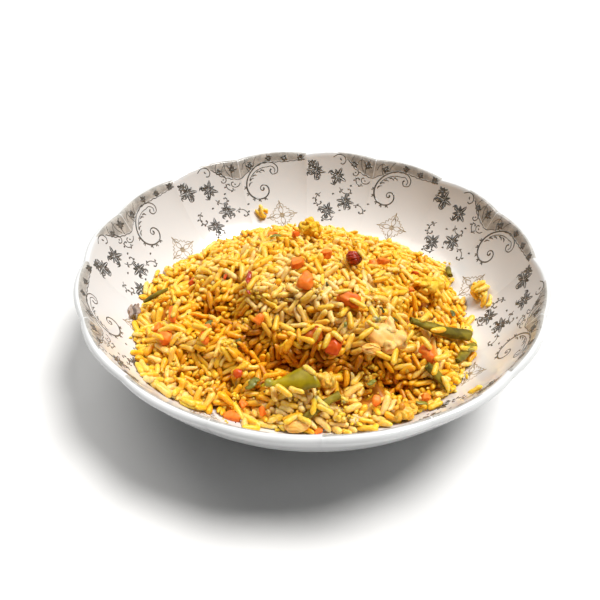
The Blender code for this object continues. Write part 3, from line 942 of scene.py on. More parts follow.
GRAIN_STATIONS = 8
GRAIN_SIDES = 8


def add_grains(shape, middles, directions, lengths, widths, tones, bend=0.35):
    """Cooked long grains: blunt ends, a slight bow, and a split, lobed and uneven section."""
    count = len(middles)
    column = (count, 1)
    half = lengths[:, None] / 2
    across, over = facing_frames(directions, RNG.uniform(0, FULL_TURN, count))
    station = np.sin(np.linspace(-0.5, 0.5, GRAIN_STATIONS + 2)[1:-1] * math.pi)
    angle = np.linspace(0, FULL_TURN, GRAIN_SIDES, endpoint=False)
    fullness = (1 - np.abs(station) ** 4.4) ** 0.55
    skew = 1 + RNG.uniform(-0.26, 0.26, column) * station
    waist = 1 + RNG.uniform(-0.13, 0.07, column) * np.cos(station * RNG.uniform(3, 7, column))
    radius = widths[:, None] / 2 * fullness * skew * waist
    radius = radius * (1 + RNG.normal(0, 0.035, radius.shape))
    ridges = 1 + 0.07 * np.cos(angle * RNG.choice([2, 3, 4], column)
                               + RNG.uniform(0, FULL_TURN, column))
    split = np.exp(-((angle - RNG.uniform(1, 5, column)) / 0.45) ** 2)
    ridges = ridges - RNG.uniform(0, 0.16, column) * split
    flat = RNG.uniform(0.74, 0.98, (count, 1, 1, 1))
    bow = RNG.normal(0, bend, column) * (1 - station ** 2) * lengths[:, None] / 8.5
    twist = RNG.normal(0, bend * 0.6, column) * np.sin(station * math.pi) * lengths[:, None] / 8.5
    spine = (middles[:, None] + directions[:, None] * (station * lengths[:, None] / 2)[..., None]
             + across[:, None] * bow[..., None] + over[:, None] * twist[..., None])
    ring = radius[:, :, None, None] * ridges[:, None, :, None]
    ring = ring * (1 + RNG.normal(0, 0.025, (count, GRAIN_STATIONS, GRAIN_SIDES, 1)))
    rings = (spine[:, :, None] + across[:, None, None] * ring * np.cos(angle)[:, None]
             + over[:, None, None] * ring * flat * np.sin(angle)[:, None])
    ends = np.stack([middles - directions * half, middles + directions * half], axis=1)
    shape.add_lofts(rings, ends, tones)


def round_template():
    builder = bmesh.new()
    bmesh.ops.create_icosphere(builder, subdivisions=2, radius=1.0)
    return template(builder)


CRUMB_POINTS, CRUMB_FACES = round_template()


def add_crumbs(shape, middles, sizes, tones, rough):
    """Small uneven lumps."""
    for middle, size, tone in zip(middles, sizes, tones):
        waves = RNG.normal(0, 1, (5, 3)) * 2.4
        phase = RNG.uniform(0, FULL_TURN, 5)
        swell = 1 + rough * np.cos(CRUMB_POINTS @ waves.T + phase).mean(1) * 2
        squash = RNG.uniform(0.65, 1.1, 3)
        shape.add(middle + CRUMB_POINTS * swell[:, None] * size * squash, [], CRUMB_FACES, tone)


# Long and broken grains: how many, their sizes, and how deep they lie under the mound's
# outline. Then how often the packing pushes them, how hard it draws them out, and the highest
# place for a grain's end. All lengths are in millimetres.
GRAIN_COUNT = 3150
GRAIN_LENGTH = (7.2, 9.6)
GRAIN_WIDTH = (2.45, 3.15)
BROKEN_COUNT = 450
BROKEN_LENGTH = (3.6, 6.0)
SHELL = 8.0
RELAX_STEPS = 110
PULL = 0.04
CREST = 55.2
# Clearance from the bowl's inside and the furthest that one step moves a grain off it.
WALL_CLEARANCE = 1.25
WALL_PUSH = 2.0
# The share of grains that stand proud, and by how much. Then how far such a grain's middle, or
# another's, may be out of the relief when the packing ends.
PROUD_SHARE, PROUD_LIFT = 0.16, 1.7
PROUD_LIMIT, COMMON_LIMIT = 2.6, 1.4
GRAINS_IN_A_PIECE = 1450

# Clefts in the mound, with the grains near them painted darker as painted shade: x, y, radius
# and depth in millimetres.
CLEFTS = ((-52, -51, 3.8, 6), (-19, -47, 4.6, 7), (-22, -56, 4.2, 6), (-28, -40, 4.0, 5),
          (39, -60, 4.6, 7), (-43, -40, 3.4, 4), (-37, -23, 4.2, 4), (-50, -15, 4.6, 4),
          (16, -50, 4.0, 4), (9, -54, 4.0, 5), (-7, -45, 5.0, 6), (35, -54, 4.2, 5),
          (-5, -53, 3.2, 4), (-16, -42, 4.0, 4), (-34, -58, 4.0, 5), (25, -50, 3.8, 5),
          (44, -37, 3.6, 4), (64, -38, 3.2, 4), (-53, -25, 3.4, 3), (-38, -52, 3.4, 4),
          (1, -29, 3.0, 3), (24, -62, 3.8, 5), (40, -27, 3.2, 4), (48, -16, 4.2, 3.5),
          (0, -66, 3.4, 3), (-57, -39, 3.4, 3),
          (5, -46, 4.6, 4), (13, -62, 3.6, 3), (-82, -9, 3.6, 2.5), (-68, -33, 3.4, 3))
# Clumps that stand proud and catch the light, their grains painted a little lighter as painted
# light: x, y, radius and height in millimetres.
CLUMPS = ((-23, -16, 9, 2.4), (-8, -20, 8, 2.0), (-40, -3, 8, 1.6), (12, -24, 8, 1.6),
          (-52, -34, 6, 1.8), (38, -34, 7, 1.8), (56, -44, 6, 1.6), (-2, -62, 6, 1.8),
          (-30, -76, 5, 1.2), (-6, -33, 5, 2.4), (7, -36, 5, 2.4), (17, -41, 5, 2.6),
          (-39, -44, 4, 1.8), (-27, -46, 4, 2.2), (-60, -31, 5, 1.6), (-49, -57, 5, 2.4),
          (-64, -54, 6, 2.4), (-18, -65, 6, 2.2), (11, -72, 5, 1.6), (32, -67, 4, 1.8),
          (20, -59, 4, 2.2), (54, -62, 5, 1.8), (-6, -23, 6, 1.5), (44, -46, 5, 1.6),
          (-75, -30, 5, 1.6))
# Broad parts that lie back in shade, sunk in the relief and with their grains painted darker
# as painted shade: x, y, radius and share.
SHADED = ((-44, -20, 13, 0.95), (-29, -34, 9, 0.85), (3, -50, 12, 0.75), (34, -52, 9, 0.5),
          (-38, -60, 7, 0.4), (40, -58, 7, 0.5), (47, -16, 6, 0.5), (-16, -50, 8, 0.4))
# Broad parts whose grains catch the light and are painted paler as painted light: x, y, radius
# and share.
LIT = ((-8, -68, 11, 1.0), (14, -68, 10, 1.0), (31, -67, 8, 0.8), (-14, -20, 12, 0.9),
       (8, -24, 11, 0.9), (-4, 6, 18, 0.5), (24, -10, 12, 0.5))


def bumps(points, table):
    """The sum of rounded bumps at the places of a table."""
    height = np.zeros(len(points))
    for x, y, radius, tall in table:
        height += tall * np.exp(-(flat_distance(points, x, y) / radius) ** 2)
    return height


def topping_share(points):
    """One where a topping of the CAD lies, falling to nought beside it."""
    share = np.zeros(len(points))
    margin, reach = 2.5, 14
    for resting in RESTING.values():
        gap = points - resting.middle
        far = ((gap @ resting.along) / (resting.length / 2 + margin)) ** 2
        far = far + ((gap @ resting.across) / (resting.width / 2 + margin)) ** 2
        share = np.maximum(share, np.exp(-far ** 2) * (np.abs(gap @ resting.normal) < reach))
    return share


def swells(points, spread, seed=5):
    """A fixed, smooth unevenness of the mound's outline, mostly from -1 to 1."""
    rng = np.random.default_rng(seed)
    value = np.zeros(len(points))
    waves = 14
    for _ in range(waves):
        wave = rng.normal(0, 1, 3) / spread
        value += np.cos(points @ wave + rng.uniform(0, FULL_TURN))
    return value / waves ** 0.5 / 1.4


# The mound's relief, in millimetres: how high its broad and small swells are, how deep its
# pockets and shaded parts, how far all of it is set back, how high its toe is raised all round
# and at the near left, how wide the toe is, and the most that the relief may stand out. Last
# come the azimuth and width of the near left, in radians.
BROAD_SWELL, SMALL_SWELL = 5.4, 1.5
POCKET_DEPTH, SHADE_DEPTH = 2.2, 3.4
SET_BACK, TOE_RISE, LEFT_RISE = 1.6, 2.0, 1.6
TOE_WIDTH = 12
MOST_RELIEF = 3.8
LEFT_TURN, LEFT_WIDTH = -2.40, 0.34


def mound_relief(points):
    """How far the clumps stand out of the mound's outline and the clefts sink in."""
    azimuth = azimuth_of(points)
    inward = flat_distance(points) - SURFACE.edge_radius(azimuth) + TOE_WIDTH
    toe = smooth_step(inward / TOE_WIDTH)
    relief = BROAD_SWELL * swells(points, 4.8) + SMALL_SWELL * swells(points, 2.4, 8)
    relief = relief * (1 - 0.5 * toe)
    pockets = smooth_step((-0.15 - swells(points, 2.8, 11)) / 0.5)
    relief = relief - SET_BACK + TOE_RISE * toe - POCKET_DEPTH * pockets * (1 - 0.5 * toe)
    relief = relief - SHADE_DEPTH * np.clip(bumps(points, SHADED), 0, 1)
    left = np.exp(-((azimuth - LEFT_TURN) / LEFT_WIDTH) ** 2)
    relief = np.minimum(relief, 0.9 + 0.25 * relief) + bumps(points, CLUMPS)
    relief = relief + LEFT_RISE * toe * left
    relief = np.minimum(relief - 1.15 * bumps(points, CLEFTS), MOST_RELIEF)
    near = topping_share(points)
    return relief * (1 - near) + 0.5 * near


def shade_share(points):
    """One in the broad shaded parts and on the front face of the mound, less on the clumps, falling
    to nought around them: the share of painted shade on the grains there, which also tips them up.
    """
    # The front face, turned away from the lamps, counts as shaded: painted shade.
    face = 0.5 * np.exp(-((points[:, 1] + 46) / 15) ** 2 - ((points[:, 0] - 2) / 52) ** 2)
    return np.clip(face + bumps(points, SHADED) - 0.12 * bumps(points, CLUMPS), 0, 1)


def scatter_in_mound(count, depths):
    """Points spread evenly over the mound's outline, each at its depth below it."""
    found = []
    while sum(len(one) for one in found) < count:
        points = RNG.uniform(-88, 88, (count, 3))
        edge = SURFACE.toe_radius(azimuth_of(points))
        steep = 1 / SURFACE.normal(points)[:, 2]
        keep = (flat_distance(points) < edge - 0.5) & (RNG.uniform(0, 1.5, count) < steep)
        found.append(points[keep])
    points = np.concatenate(found)[:count]
    points[:, 2] = SURFACE.height(points)
    return points - SURFACE.normal(points) * depths[:, None]


def scatter_on_top(count, depths, clearance):
    """Points spread over the grains, for crumbs and specks."""
    places = scatter_in_mound(count, depths)
    return clear_of_bowl(SURFACE.out(places, mound_relief(places)), clearance)


def hold_in_mound(points, lift):
    """Pull points in under the mound's outline, and keep them off the bowl and the core."""
    normal = SURFACE.normal(points)
    above = SURFACE.above(points)
    ceiling = mound_relief(points) + lift
    points = points - normal * np.clip(above - ceiling, 0, 1.0)[:, None] * 0.5
    points = points - normal * (np.clip((above - ceiling + SHELL) / SHELL, 0, 1) * PULL)[:, None]
    points = points + normal * np.clip(ceiling - lift - SHELL - above, 0, 1.0)[:, None] * 0.5
    points = clear_of_bowl(points, WALL_CLEARANCE, WALL_PUSH)
    points[:, 2] = np.minimum(points[:, 2], CREST)
    radius = flat_distance(points)
    edge = SURFACE.toe_radius(azimuth_of(points))
    shrink = np.minimum(1.0, 1 - (radius - edge) / np.maximum(radius, 1) * 0.3 * (radius > edge))
    points[:, :2] *= shrink[:, None]
    return points


# ---------------------------------------------------------------- the toppings

def wavy(points, scale, rng):
    """A smooth random field over points, from about -1 to 1, with so many swells a millimetre."""
    waves = 8
    directions = rng.normal(0, 1, (waves, 3)) * scale * 2
    phase = rng.uniform(0, FULL_TURN, waves)
    return np.cos(points @ directions.T + phase).mean(-1) * waves ** 0.5 / 1.5


def swollen(points, skin, rng, scales, rough=1.0):
    """Points moved along their skin's directions by waves of several scales and shares."""
    for scale, share in scales:
        points = points + skin * (wavy(points, scale, rng) * rough * share)[:, None]
    return points


def cube_sphere(cuts):
    """Points of a finely divided cube and its triangles."""
    builder = bmesh.new()
    bmesh.ops.create_cube(builder, size=2.0)
    bmesh.ops.subdivide_edges(builder, edges=builder.edges, cuts=cuts, use_grid_fill=True)
    bmesh.ops.triangulate(builder, faces=builder.faces)
    return template(builder)


BLOCK_POINTS, BLOCK_FACES = cube_sphere(10)
FINE_POINTS, FINE_FACES = cube_sphere(27)
KNOB_POINTS, KNOB_FACES = cube_sphere(5)


def add_block(shape, resting, size, drop, seed, rough=0.35, bevel=0.5):
    """A chopped block with worn edges, corners cut off at random and an uneven skin."""
    rng = np.random.default_rng(seed)
    core = np.clip(BLOCK_POINTS, -1 + bevel, 1 - bevel)
    points = core + unit(BLOCK_POINTS - core) * bevel
    lean = rng.normal(0, 0.12, (3, 3))
    points = points * (1 + points @ lean - np.diag(lean) * points)
    for _ in range(5):
        face = unit(rng.normal(0, 1, 3))
        over = np.maximum(points @ face - rng.uniform(0.78, 1.15), 0)
        points = points - face * (over * 0.85)[:, None]
    points = points * np.array(size) / 2
    points = swollen(points, unit(points), rng, ((0.16, 1.0), (0.42, 0.6), (1.0, 0.3)), rough)
    shade = 0.10 * wavy(points, 0.2, rng)
    shape.add(resting.to_world(points, drop), [], BLOCK_FACES, shade)


def add_lump(shape, resting, size, drop, seed, rough, tone, knobs, knob_size):
    """An uneven lump, grown together with small knobs where it crumbles."""
    rng = np.random.default_rng(seed)
    skin = unit(BLOCK_POINTS)
    half = np.array(size) / 2
    points = swollen(skin * half * 0.86, skin, rng, ((0.10, 1.0), (0.28, 0.6), (0.8, 0.3)), rough)
    shade = tone + 0.1 * wavy(points, 0.3, rng)
    shape.add(resting.to_world(points, drop), [], BLOCK_FACES, shade)
    for _ in range(knobs):
        knob = unit(KNOB_POINTS)
        reach = unit(rng.normal(0, 1, 3)) * (1, 1, 0.9)
        radius = rng.uniform(*knob_size)
        points = knob * radius * rng.uniform(0.7, 1.3, 3)
        points = points + knob * (wavy(points, 0.5, rng) * radius * 0.35)[:, None]
        points = points + reach * half * rng.uniform(0.7, 0.98)
        shade = tone + rng.normal(0, 0.12)
        shape.add(resting.to_world(points, drop), [], KNOB_FACES, shade)


def add_meat(shape, resting, size, drop, seed, pitch, deep, swirl, tone=0.0, fibres=3):
    """Cooked meat that parts along its fibres: a lump with creases, fine lines and loose ends."""
    rng = np.random.default_rng(seed)
    half = np.array(size) / 2
    skin = unit(FINE_POINTS)
    points = swollen(skin * half, skin, rng, ((0.07, 0.9), (0.2, 0.45)))
    along = points[:, 0] / half[0]
    turned = np.hypot(points[:, 0] + half[0] * 0.75, (points[:, 1] + half[1] * 0.7) * 1.25)
    share = swirl * smooth_step((along + 0.25) / 0.8)
    across = points[:, 1] / (1 - 0.3 * along) * (1 - share) + turned * share
    across = across + 0.8 * points[:, 2] + 0.35 * wavy(points * (0.3, 1, 1), 0.16, rng)
    crease = (1 - np.abs(np.sin(across * math.pi / pitch))) ** 2.2
    depth = deep * (0.75 + 0.5 * wavy(points, 0.12, rng))
    fine = np.sin(across * FULL_TURN / 0.62 + 2 * wavy(points, 0.3, rng))
    points = points - skin * (crease * depth - 0.07 * fine)[:, None]
    # The creases are painted a little darker: painted shade.
    shade = tone + 0.10 * wavy(points, 0.14, rng) - 0.07 * crease
    shape.add(resting.to_world(points, drop), [], FINE_FACES, shade)
    for _ in range(fibres):
        turn = rng.uniform(-1.2, 1.2)
        middle, reach = rng.uniform(-0.3, 0.3), rng.uniform(0.15, 0.4)
        share = np.linspace(middle - reach, middle + reach, 11)
        arch = np.sqrt(np.clip(1 - (2 * share) ** 2, 0.02, 1))
        spine = np.stack([share * size[0], math.sin(turn) * half[1] * arch
                          + 0.4 * np.sin(share * 6 + rng.uniform(0, 6)),
                          math.cos(turn) * half[2] * arch + 0.15], axis=1)
        add_strand(shape, resting.to_world(spine, drop), rng.uniform(0.5, 0.9), 0.8, tone + 0.1, 8)


def add_strand(shape, spine, width, flat, tone, sides=14):
    """A closed strand along a line of points, thin at both ends."""
    along = unit(np.gradient(spine, axis=0))
    side = unit(np.cross([0.1, 0.2, 1.0], along))
    over = np.cross(along, side)
    share = np.linspace(0, 1, len(spine) + 2)[1:-1]
    radius = (width / 2 * np.sin(share * math.pi) ** 0.45)[:, None]
    angle = np.linspace(0, FULL_TURN, sides, endpoint=False)
    rings = (spine[:, None] + side[:, None] * (radius * np.cos(angle))[..., None]
             + over[:, None] * (radius * flat * np.sin(angle))[..., None])
    ends = [spine[0] - along[0] * width * 0.2, spine[-1] + along[-1] * width * 0.2]
    shape.add_loft(rings, ends, tone)


class Level:
    """A topping's resting place, turned so that its length runs left to right."""

    def __init__(self, resting, shift=(0.0, 0.0)):
        self.normal = resting.normal
        self.along = unit(np.array([1.0, 0.0, 0.0]) - self.normal * self.normal[0])
        self.across = np.cross(self.normal, self.along)
        self.middle = resting.middle + self.along * shift[0] + self.across * shift[1]

    to_world = Resting.to_world


BEAN_SIDES = 28
BEAN_STATIONS = 44
CUT_SIDES = 24
# Rings of a bean's hollow end: their scale, and how far in they lie in millimetres.
CUT_RINGS = ((0.72, 0.75), (0.78, 0.1), (0.95, -0.06))
# The pale rim round a cut end: the same for its section.
CUT_RIM = ((0.84, -0.3), (0.90, 0.10), (1.0, 0.14), (1.06, 0.04), (1.0, -0.3))


def add_bean(shape, flesh, resting, seed, start_share, end_share, bow=0.5, sink=0.25,
             wrinkle=0.16, depth=0.92, cut=(0.12, 0.05), widen=0.45, slim=0.78, trim=1.0):
    """A length of bean pod: seed swells, a seam on each side, and hollow cut ends."""
    rng = np.random.default_rng(seed)
    width = resting.width * slim
    share = np.linspace(0, 1, BEAN_STATIONS)
    along = (share - 0.5) * (resting.length * trim)
    body = start_share + (1 - start_share) * smooth_step(share / widen)
    body = body * (1 + (end_share - 1) * smooth_step((share - 0.55) / 0.45))
    swell = 1 + 0.05 * np.cos(along / width * 2.6 + rng.uniform(0, 6))
    radius = width / 2 * body * swell
    angle = np.linspace(0, FULL_TURN, BEAN_SIDES, endpoint=False)
    cosine, sine = np.cos(angle), np.sin(angle)
    section = radius[:, None] * (1 + 0.05 * np.abs(cosine) ** 14 - 0.03 * np.abs(sine) ** 3)
    middle_y = bow * (1 - (2 * share - 1) ** 2)
    lean = np.array(cut) * width
    edge = np.clip(1 - np.abs(2 * share - 1), 0, 1)
    tilt = np.sign(share - 0.5)[:, None] * (cosine * lean[0] + sine * lean[1])
    tilt = tilt * np.exp(-edge * 14)[:, None]
    points = np.stack([along[:, None] + tilt, middle_y[:, None] + section * cosine,
                       section * sine * depth], axis=-1)
    flat = points.reshape(-1, 3)
    skin = np.tile(np.stack([0 * angle, cosine, sine], axis=-1), (BEAN_STATIONS, 1))
    stretched = flat * np.array([0.35, 1.0, 1.0])
    ripple = wavy(stretched, 0.35, rng) + 0.6 * wavy(stretched, 1.0, rng)
    points = (flat + skin * (ripple * wrinkle)[:, None]).reshape(points.shape)
    first, last = points[0].mean(0), points[-1].mean(0)
    rings = [first + (points[0] - first) * scale + (inward, 0, 0) for scale, inward in CUT_RINGS]
    rings += [*points]
    rings += [last + (points[-1] - last) * scale - (inward, 0, 0)
              for scale, inward in CUT_RINGS[::-1]]
    drop = width / 2 * depth + sink
    world = resting.to_world(rings, drop)
    shape.add_loft(world, resting.to_world([first + (0.9, 0, 0), last - (0.9, 0, 0)], drop))
    shade = 0.14 * wavy(world.reshape(-1, 3), 0.12, rng)
    shape.tones[-1] = np.append(shade, [0.0, 0.0])
    for end, side, end_width in ((first, 1, start_share), (last, -1, end_share)):
        pip = end + CRUMB_POINTS * width * 0.2 + (side * 0.75, 0, 0.02 * width)
        flesh.add(resting.to_world(pip, drop), [], CRUMB_FACES, 0.1)
        rim = np.linspace(0, FULL_TURN, CUT_SIDES, endpoint=False)
        spread = width / 2 * 0.86 * end_width
        ring = np.stack([0 * rim, np.cos(rim) * spread, np.sin(rim) * spread * depth], axis=1)
        hoop = resting.to_world([end + ring * scale + (shift * -side, 0, 0)
                                 for scale, shift in CUT_RIM], drop)
        row = np.arange(len(CUT_RIM))[:, None] * CUT_SIDES
        index = row + np.arange(CUT_SIDES)
        turned = row + (np.arange(CUT_SIDES) + 1) % CUT_SIDES
        above, above_turned = ((one + CUT_SIDES) % index.size for one in (index, turned))
        quads = np.stack([index, turned, above_turned, above], axis=-1).reshape(-1, 4)
        flesh.add(hoop, quads if side == -1 else quads[:, ::-1], [], 0.0)


def leaf_chip(shape, middle, along, size, seed, tone):
    """A curled scrap of leaf or herb."""
    rng = np.random.default_rng(seed)
    length, width = size
    along = unit(np.array(along, float))
    normal = SURFACE.normal(np.array([middle]))[0]
    across = unit(np.cross(normal, along))
    share = np.linspace(-0.5, 0.5, 9)
    lift = 0.5 * (1 - 4 * share ** 2) + 0.15 * rng.normal(0, 1, 9)
    spine = (np.array(middle) + along * (share * length)[:, None] + normal * lift[:, None]
             + across * (0.25 * width * np.sin(share * 5))[:, None])
    add_strand(shape, spine, width, rng.uniform(0.28, 0.45), tone, sides=10)


BEAN_LOOKS = {
    "green_bean_front": dict(start_share=0.2, end_share=0.95, bow=-0.9, wrinkle=0.2, sink=-0.1,
                             cut=(-0.28, 0.1), widen=0.8, depth=0.6, slim=1.08, trim=0.88),
    "green_bean_right": dict(start_share=0.5, end_share=1.1, bow=-0.8, wrinkle=0.45, sink=0.1),
    "green_bean_side": dict(start_share=0.7, end_share=0.9, wrinkle=0.4, sink=0.6),
    "green_bean_low": dict(start_share=0.9, end_share=0.5, bow=1.0, wrinkle=0.35, sink=0.4,
                           slim=0.72),
    "green_bean_toe": dict(start_share=0.7, end_share=0.9, wrinkle=0.35, sink=1.0, slim=0.66),
    "green_bean_left": dict(start_share=0.6, end_share=0.8, wrinkle=0.2, sink=0.3, slim=0.7),
    "green_bean_back": dict(start_share=0.8, end_share=0.9, wrinkle=0.25, sink=0.4),
}
BRIGHT_BEAN = "green_bean_front"
CARROTS = ("carrot_top_left", "carrot_top_front", "carrot_top_right", "carrot_middle",
           "carrot_right", "carrot_left_strip", "carrot_left_low", "carrot_left_middle",
           "carrot_toe")


def make_beans():
    flesh = Shape()
    for seed, (name, look) in enumerate(BEAN_LOOKS.items()):
        shape = Shape()
        add_bean(shape, flesh, RESTING[name], seed, **look)
        skin = "bright_bean_skin" if name == BRIGHT_BEAN else "bean_skin"
        shape.replace(name, "_pod", skin, "green_bean")
    flesh.make("bean_cut_ends", "bean_flesh", "green_bean")


def make_carrots():
    for seed, name in enumerate(CARROTS):
        shape, resting = Shape(), RESTING[name]
        size = (resting.length, resting.width * 0.95, max(resting.width * 0.8, 3.6))
        add_block(shape, resting, size, size[2] / 2 + 0.6, 40 + seed, rough=0.6, bevel=0.62)
        shape.replace(name, "_dice", "carrot_flesh", "carrot")


def make_peppers():
    for name, look, tall in (("pepper_front", "cooked_pepper", 4.2),
                             ("pepper_middle", "red_pepper_skin", 3.8)):
        shape, resting = Shape(), RESTING[name]
        add_block(shape, resting, resting.size(tall), tall / 2 + 0.4, len(name), 0.75, 0.7)
        shape.replace(name, "_piece", look, "red_pepper")
    shape, resting = Shape(), RESTING["pepper_top"]
    add_meat(shape, resting, resting.size(6.0), 3.2, 9, 2.3, 0.6, 0.6, fibres=0)
    shape.replace("pepper_top", "_piece", "dark_pepper_skin", "red_pepper")
    shape, resting = Shape(), RESTING["chilli_strip"]
    share = np.linspace(-0.5, 0.5, 33)
    spine = np.stack([share * resting.length, 0.45 * np.sin(share * 13), 0.3 * np.cos(share * 19)],
                     axis=1)
    add_strand(shape, resting.to_world(spine, 0.9), resting.width * 0.8, 0.5, 0.05)
    shape.replace("chilli_strip", "_skin", "dark_pepper_skin", "red_pepper")


def make_meat():
    shape, resting = Shape(), RESTING["chicken_middle"]
    add_lump(shape, Level(resting, (0.6, 1.0)), (17.0, 12.5, 5.6), 2.6, 70, 0.8, 0.06, 10,
             (1.8, 3.2))
    add_meat(shape, Level(resting, (-6.2, -5.4)), (9.0, 5.6, 4.2), 2.4, 72, 1.4, 0.2, 0.2, -0.14)
    shape.replace("chicken_middle", "_shreds", "shredded_meat", "chicken")
    shape, resting = Shape(), RESTING["chicken_front"]
    add_meat(shape, Level(resting), resting.size(4.2), 2.6, 73, 1.6, 0.2, 0.3)
    shape.replace("chicken_front", "_shreds", "shredded_meat", "chicken")
    for seed, name in enumerate(("chicken_small", "chicken_right")):
        shape, resting = Shape(), RESTING[name]
        tall = max(resting.width * 0.7, 4.2)
        add_lump(shape, resting, resting.size(tall), tall / 2 + 0.8, 75 + seed, 0.8, 0.0, 14,
                 (1.0, 1.9))
        shape.replace(name, "_shreds", "browned_meat", "chicken")


def make_soft_lumps():
    for name, look, knobs in (("egg_right", "yellow_curd", 16), ("egg_back", "spiced_curd", 5)):
        shape, resting = Shape(), RESTING[name]
        add_lump(shape, resting, resting.size(resting.width * 0.8), resting.width * 0.4 + 0.6,
                 90 + len(name), 0.7, 0.0, knobs, (1.4, 2.6))
        if name == "egg_back":
            rng = np.random.default_rng(97)
            half = np.array(resting.size(resting.width * 0.7)) / 2
            places = unit(rng.normal(0, 1, (16, 3)) + (0, 0, 0.6)) * half * 0.82
            add_grains(shape, resting.to_world(places, resting.width * 0.4),
                       unit(rng.normal(0, 1, (16, 3))), rng.uniform(4.0, 6.4, 16),
                       rng.uniform(2.0, 2.7, 16), rng.normal(0.0, 0.12, 16))
        shape.replace(name, "_lump", look, "egg")
    shape, resting = Shape(), RESTING["mushroom_left"]
    share = np.linspace(-0.5, 0.5, 21)
    for side, tone, wide in ((-0.30, 0.12, 2.4), (0.02, -0.25, 1.8), (0.30, 0.05, 2.6)):
        spine = np.stack([share * resting.length, side * resting.width + 0.5 * np.sin(share * 7),
                          0.35 * np.cos(share * 9 + side)], axis=1)
        add_strand(shape, resting.to_world(spine, 1.0), wide, 0.45, tone)
    shape.replace("mushroom_left", "_slice", "mushroom_skin", "mushroom")


# Small pieces that only the looks have: x, y, heading in degrees and size in millimetres. A
# herb has a tone as well.
SMALL_CARROTS = ((32.6, 14.5, 30, (5.5, 4.5, 3.5)), (26.3, -67.6, 80, (4.2, 3.2, 3.0)),
                 (2.2, -77.3, 20, (4.6, 3.0, 3.0)), (-20.8, -69.1, 100, (4.5, 3.0, 3.0)),
                 (47.2, -63.1, 10, (4.0, 3.2, 3.0)), (-23.6, -33.6, 60, (4.2, 3.0, 3.0)),
                 (-27.9, 46.7, 0, (6.0, 4.0, 3.4)), (-29.9, -64.7, 120, (3.8, 3.0, 3.0)),
                 (-20.0, 38.0, 15, (5.0, 3.4, 3.0)), (-70.0, -28.0, 75, (5.0, 3.0, 2.8)),
                 (-45.0, 22.0, 20, (6.0, 3.2, 3.0)), (47.0, -8.0, 30, (3.6, 2.6, 2.4)),
                 (34.0, 6.0, 20, (6.5, 3.4, 3.0)), (-8.0, 28.0, 50, (3.6, 2.6, 2.4)))
SMALL_REDS = ((-54.1, -40.1, 60, (3.8, 2.8, 2.6)), (-32.1, -53.2, 15, (3.6, 3.2, 2.8)),
              (-61.0, 5.9, 20, (4.6, 2.6, 2.2)), (-42.0, -2.0, 70, (4.2, 2.0, 2.0)),
              (12.0, -46.0, 40, (3.2, 2.2, 2.0)), (52.0, 11.0, 10, (4.4, 2.0, 2.0)))
HERBS = ((7.3, -17.8, 95, (5.2, 2.4), 0.0), (34.5, -36.0, 20, (3.4, 2.0), 0.3),
         (38.0, -28.0, -30, (3.4, 1.8), 0.2), (25.0, -60.5, 10, (3.6, 2.4), 0.5),
         (45.0, -66.0, 160, (5.0, 2.2), 0.5), (-48.0, -30.0, 40, (4.6, 2.8), 0.25),
         (-26.0, -57.5, 20, (6.0, 4.2), 0.35), (14.0, -40.0, 60, (2.6, 1.4), 0.4),
         (-18.0, 27.0, -15, (5.5, 2.6), 0.85), (66.0, -14.0, 70, (4.0, 2.2), 0.3),
         (-32.0, -41.0, 75, (4.0, 2.4), 0.2), (30.0, -30.0, 120, (3.0, 1.5), 0.1))


class Spot:
    """A place on the mound's surface with a heading, for a piece that only the looks have."""

    def __init__(self, x, y, heading, lift):
        point = np.array([[x, y, 0.0]])
        point[0, 2] = SURFACE.height(point)[0]
        self.normal = SURFACE.normal(point)[0]
        forward = np.array([*polar(1, math.radians(heading)), 0.0])
        self.along = unit(forward - self.normal * (forward @ self.normal))
        self.across = np.cross(self.normal, self.along)
        self.middle = point[0] + self.normal * (lift + mound_relief(point)[0] + 1.5)

    to_world = Resting.to_world


def make_small_pieces():
    carrot, red, herb = Shape(), Shape(), Shape()
    for seed, (x, y, heading, size) in enumerate(SMALL_CARROTS):
        add_block(carrot, Spot(x, y, heading, 0.2), size, size[2] / 2, 120 + seed, 0.4)
    for seed, (x, y, heading, size) in enumerate(SMALL_REDS):
        add_block(red, Spot(x, y, heading, 0.1), size, size[2] / 2, 150 + seed, 0.5, 0.7)
    for seed, (x, y, heading, size, tone) in enumerate(HERBS):
        spot = Spot(x, y, heading, 0.3)
        leaf_chip(herb, spot.middle, spot.along, size, 170 + seed, tone)
    carrot.make("carrot_bits", "carrot_flesh", "carrot")
    red.make("pepper_bits", "red_pepper_skin", "red_pepper")
    herb.make("herb_scraps", "herb_leaf", "green_bean")


RESTING = {name: Resting(name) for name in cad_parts
           if name not in ("bowl", "rice_heap", "rice_clump")}


def topping_rods():
    """Rods that stand for the toppings while the grains are packed."""
    rods = []
    for name, resting in RESTING.items():
        length, width = resting.length, resting.width
        tall = max(width * 0.8, 3.0)
        rows = 1 if width < 7 or name in BEAN_LOOKS else 3
        radius = (tall / 2 if rows == 1 else width / 4) + 0.1
        radius = max(radius, width / 2 - 0.2) if rows == 1 else radius
        for row in range(rows):
            across = 0.0 if rows == 1 else (row - 1) * (width / 2 - radius)
            middle = resting.middle - resting.normal * (min(radius, tall * 0.6) + 1.0)
            rods.append((middle + resting.across * across, resting.along,
                         max(length / 2 - radius, 0.0), radius * 0.8))
    for x, y, heading, size in SMALL_CARROTS + SMALL_REDS:
        spot = Spot(x, y, heading, 0.2)
        rods.append((spot.middle - spot.normal * (size[2] / 2 + 0.6), spot.along,
                     max((size[0] - size[1]) / 2, 0.0), size[1] / 2 - 0.5))
    return [np.array(column) for column in zip(*rods)]


# ---------------------------------------------------------------- the rice

CORE_SIDES = 200
CORE_RINGS = 46
CORE_BASE_RINGS = 8
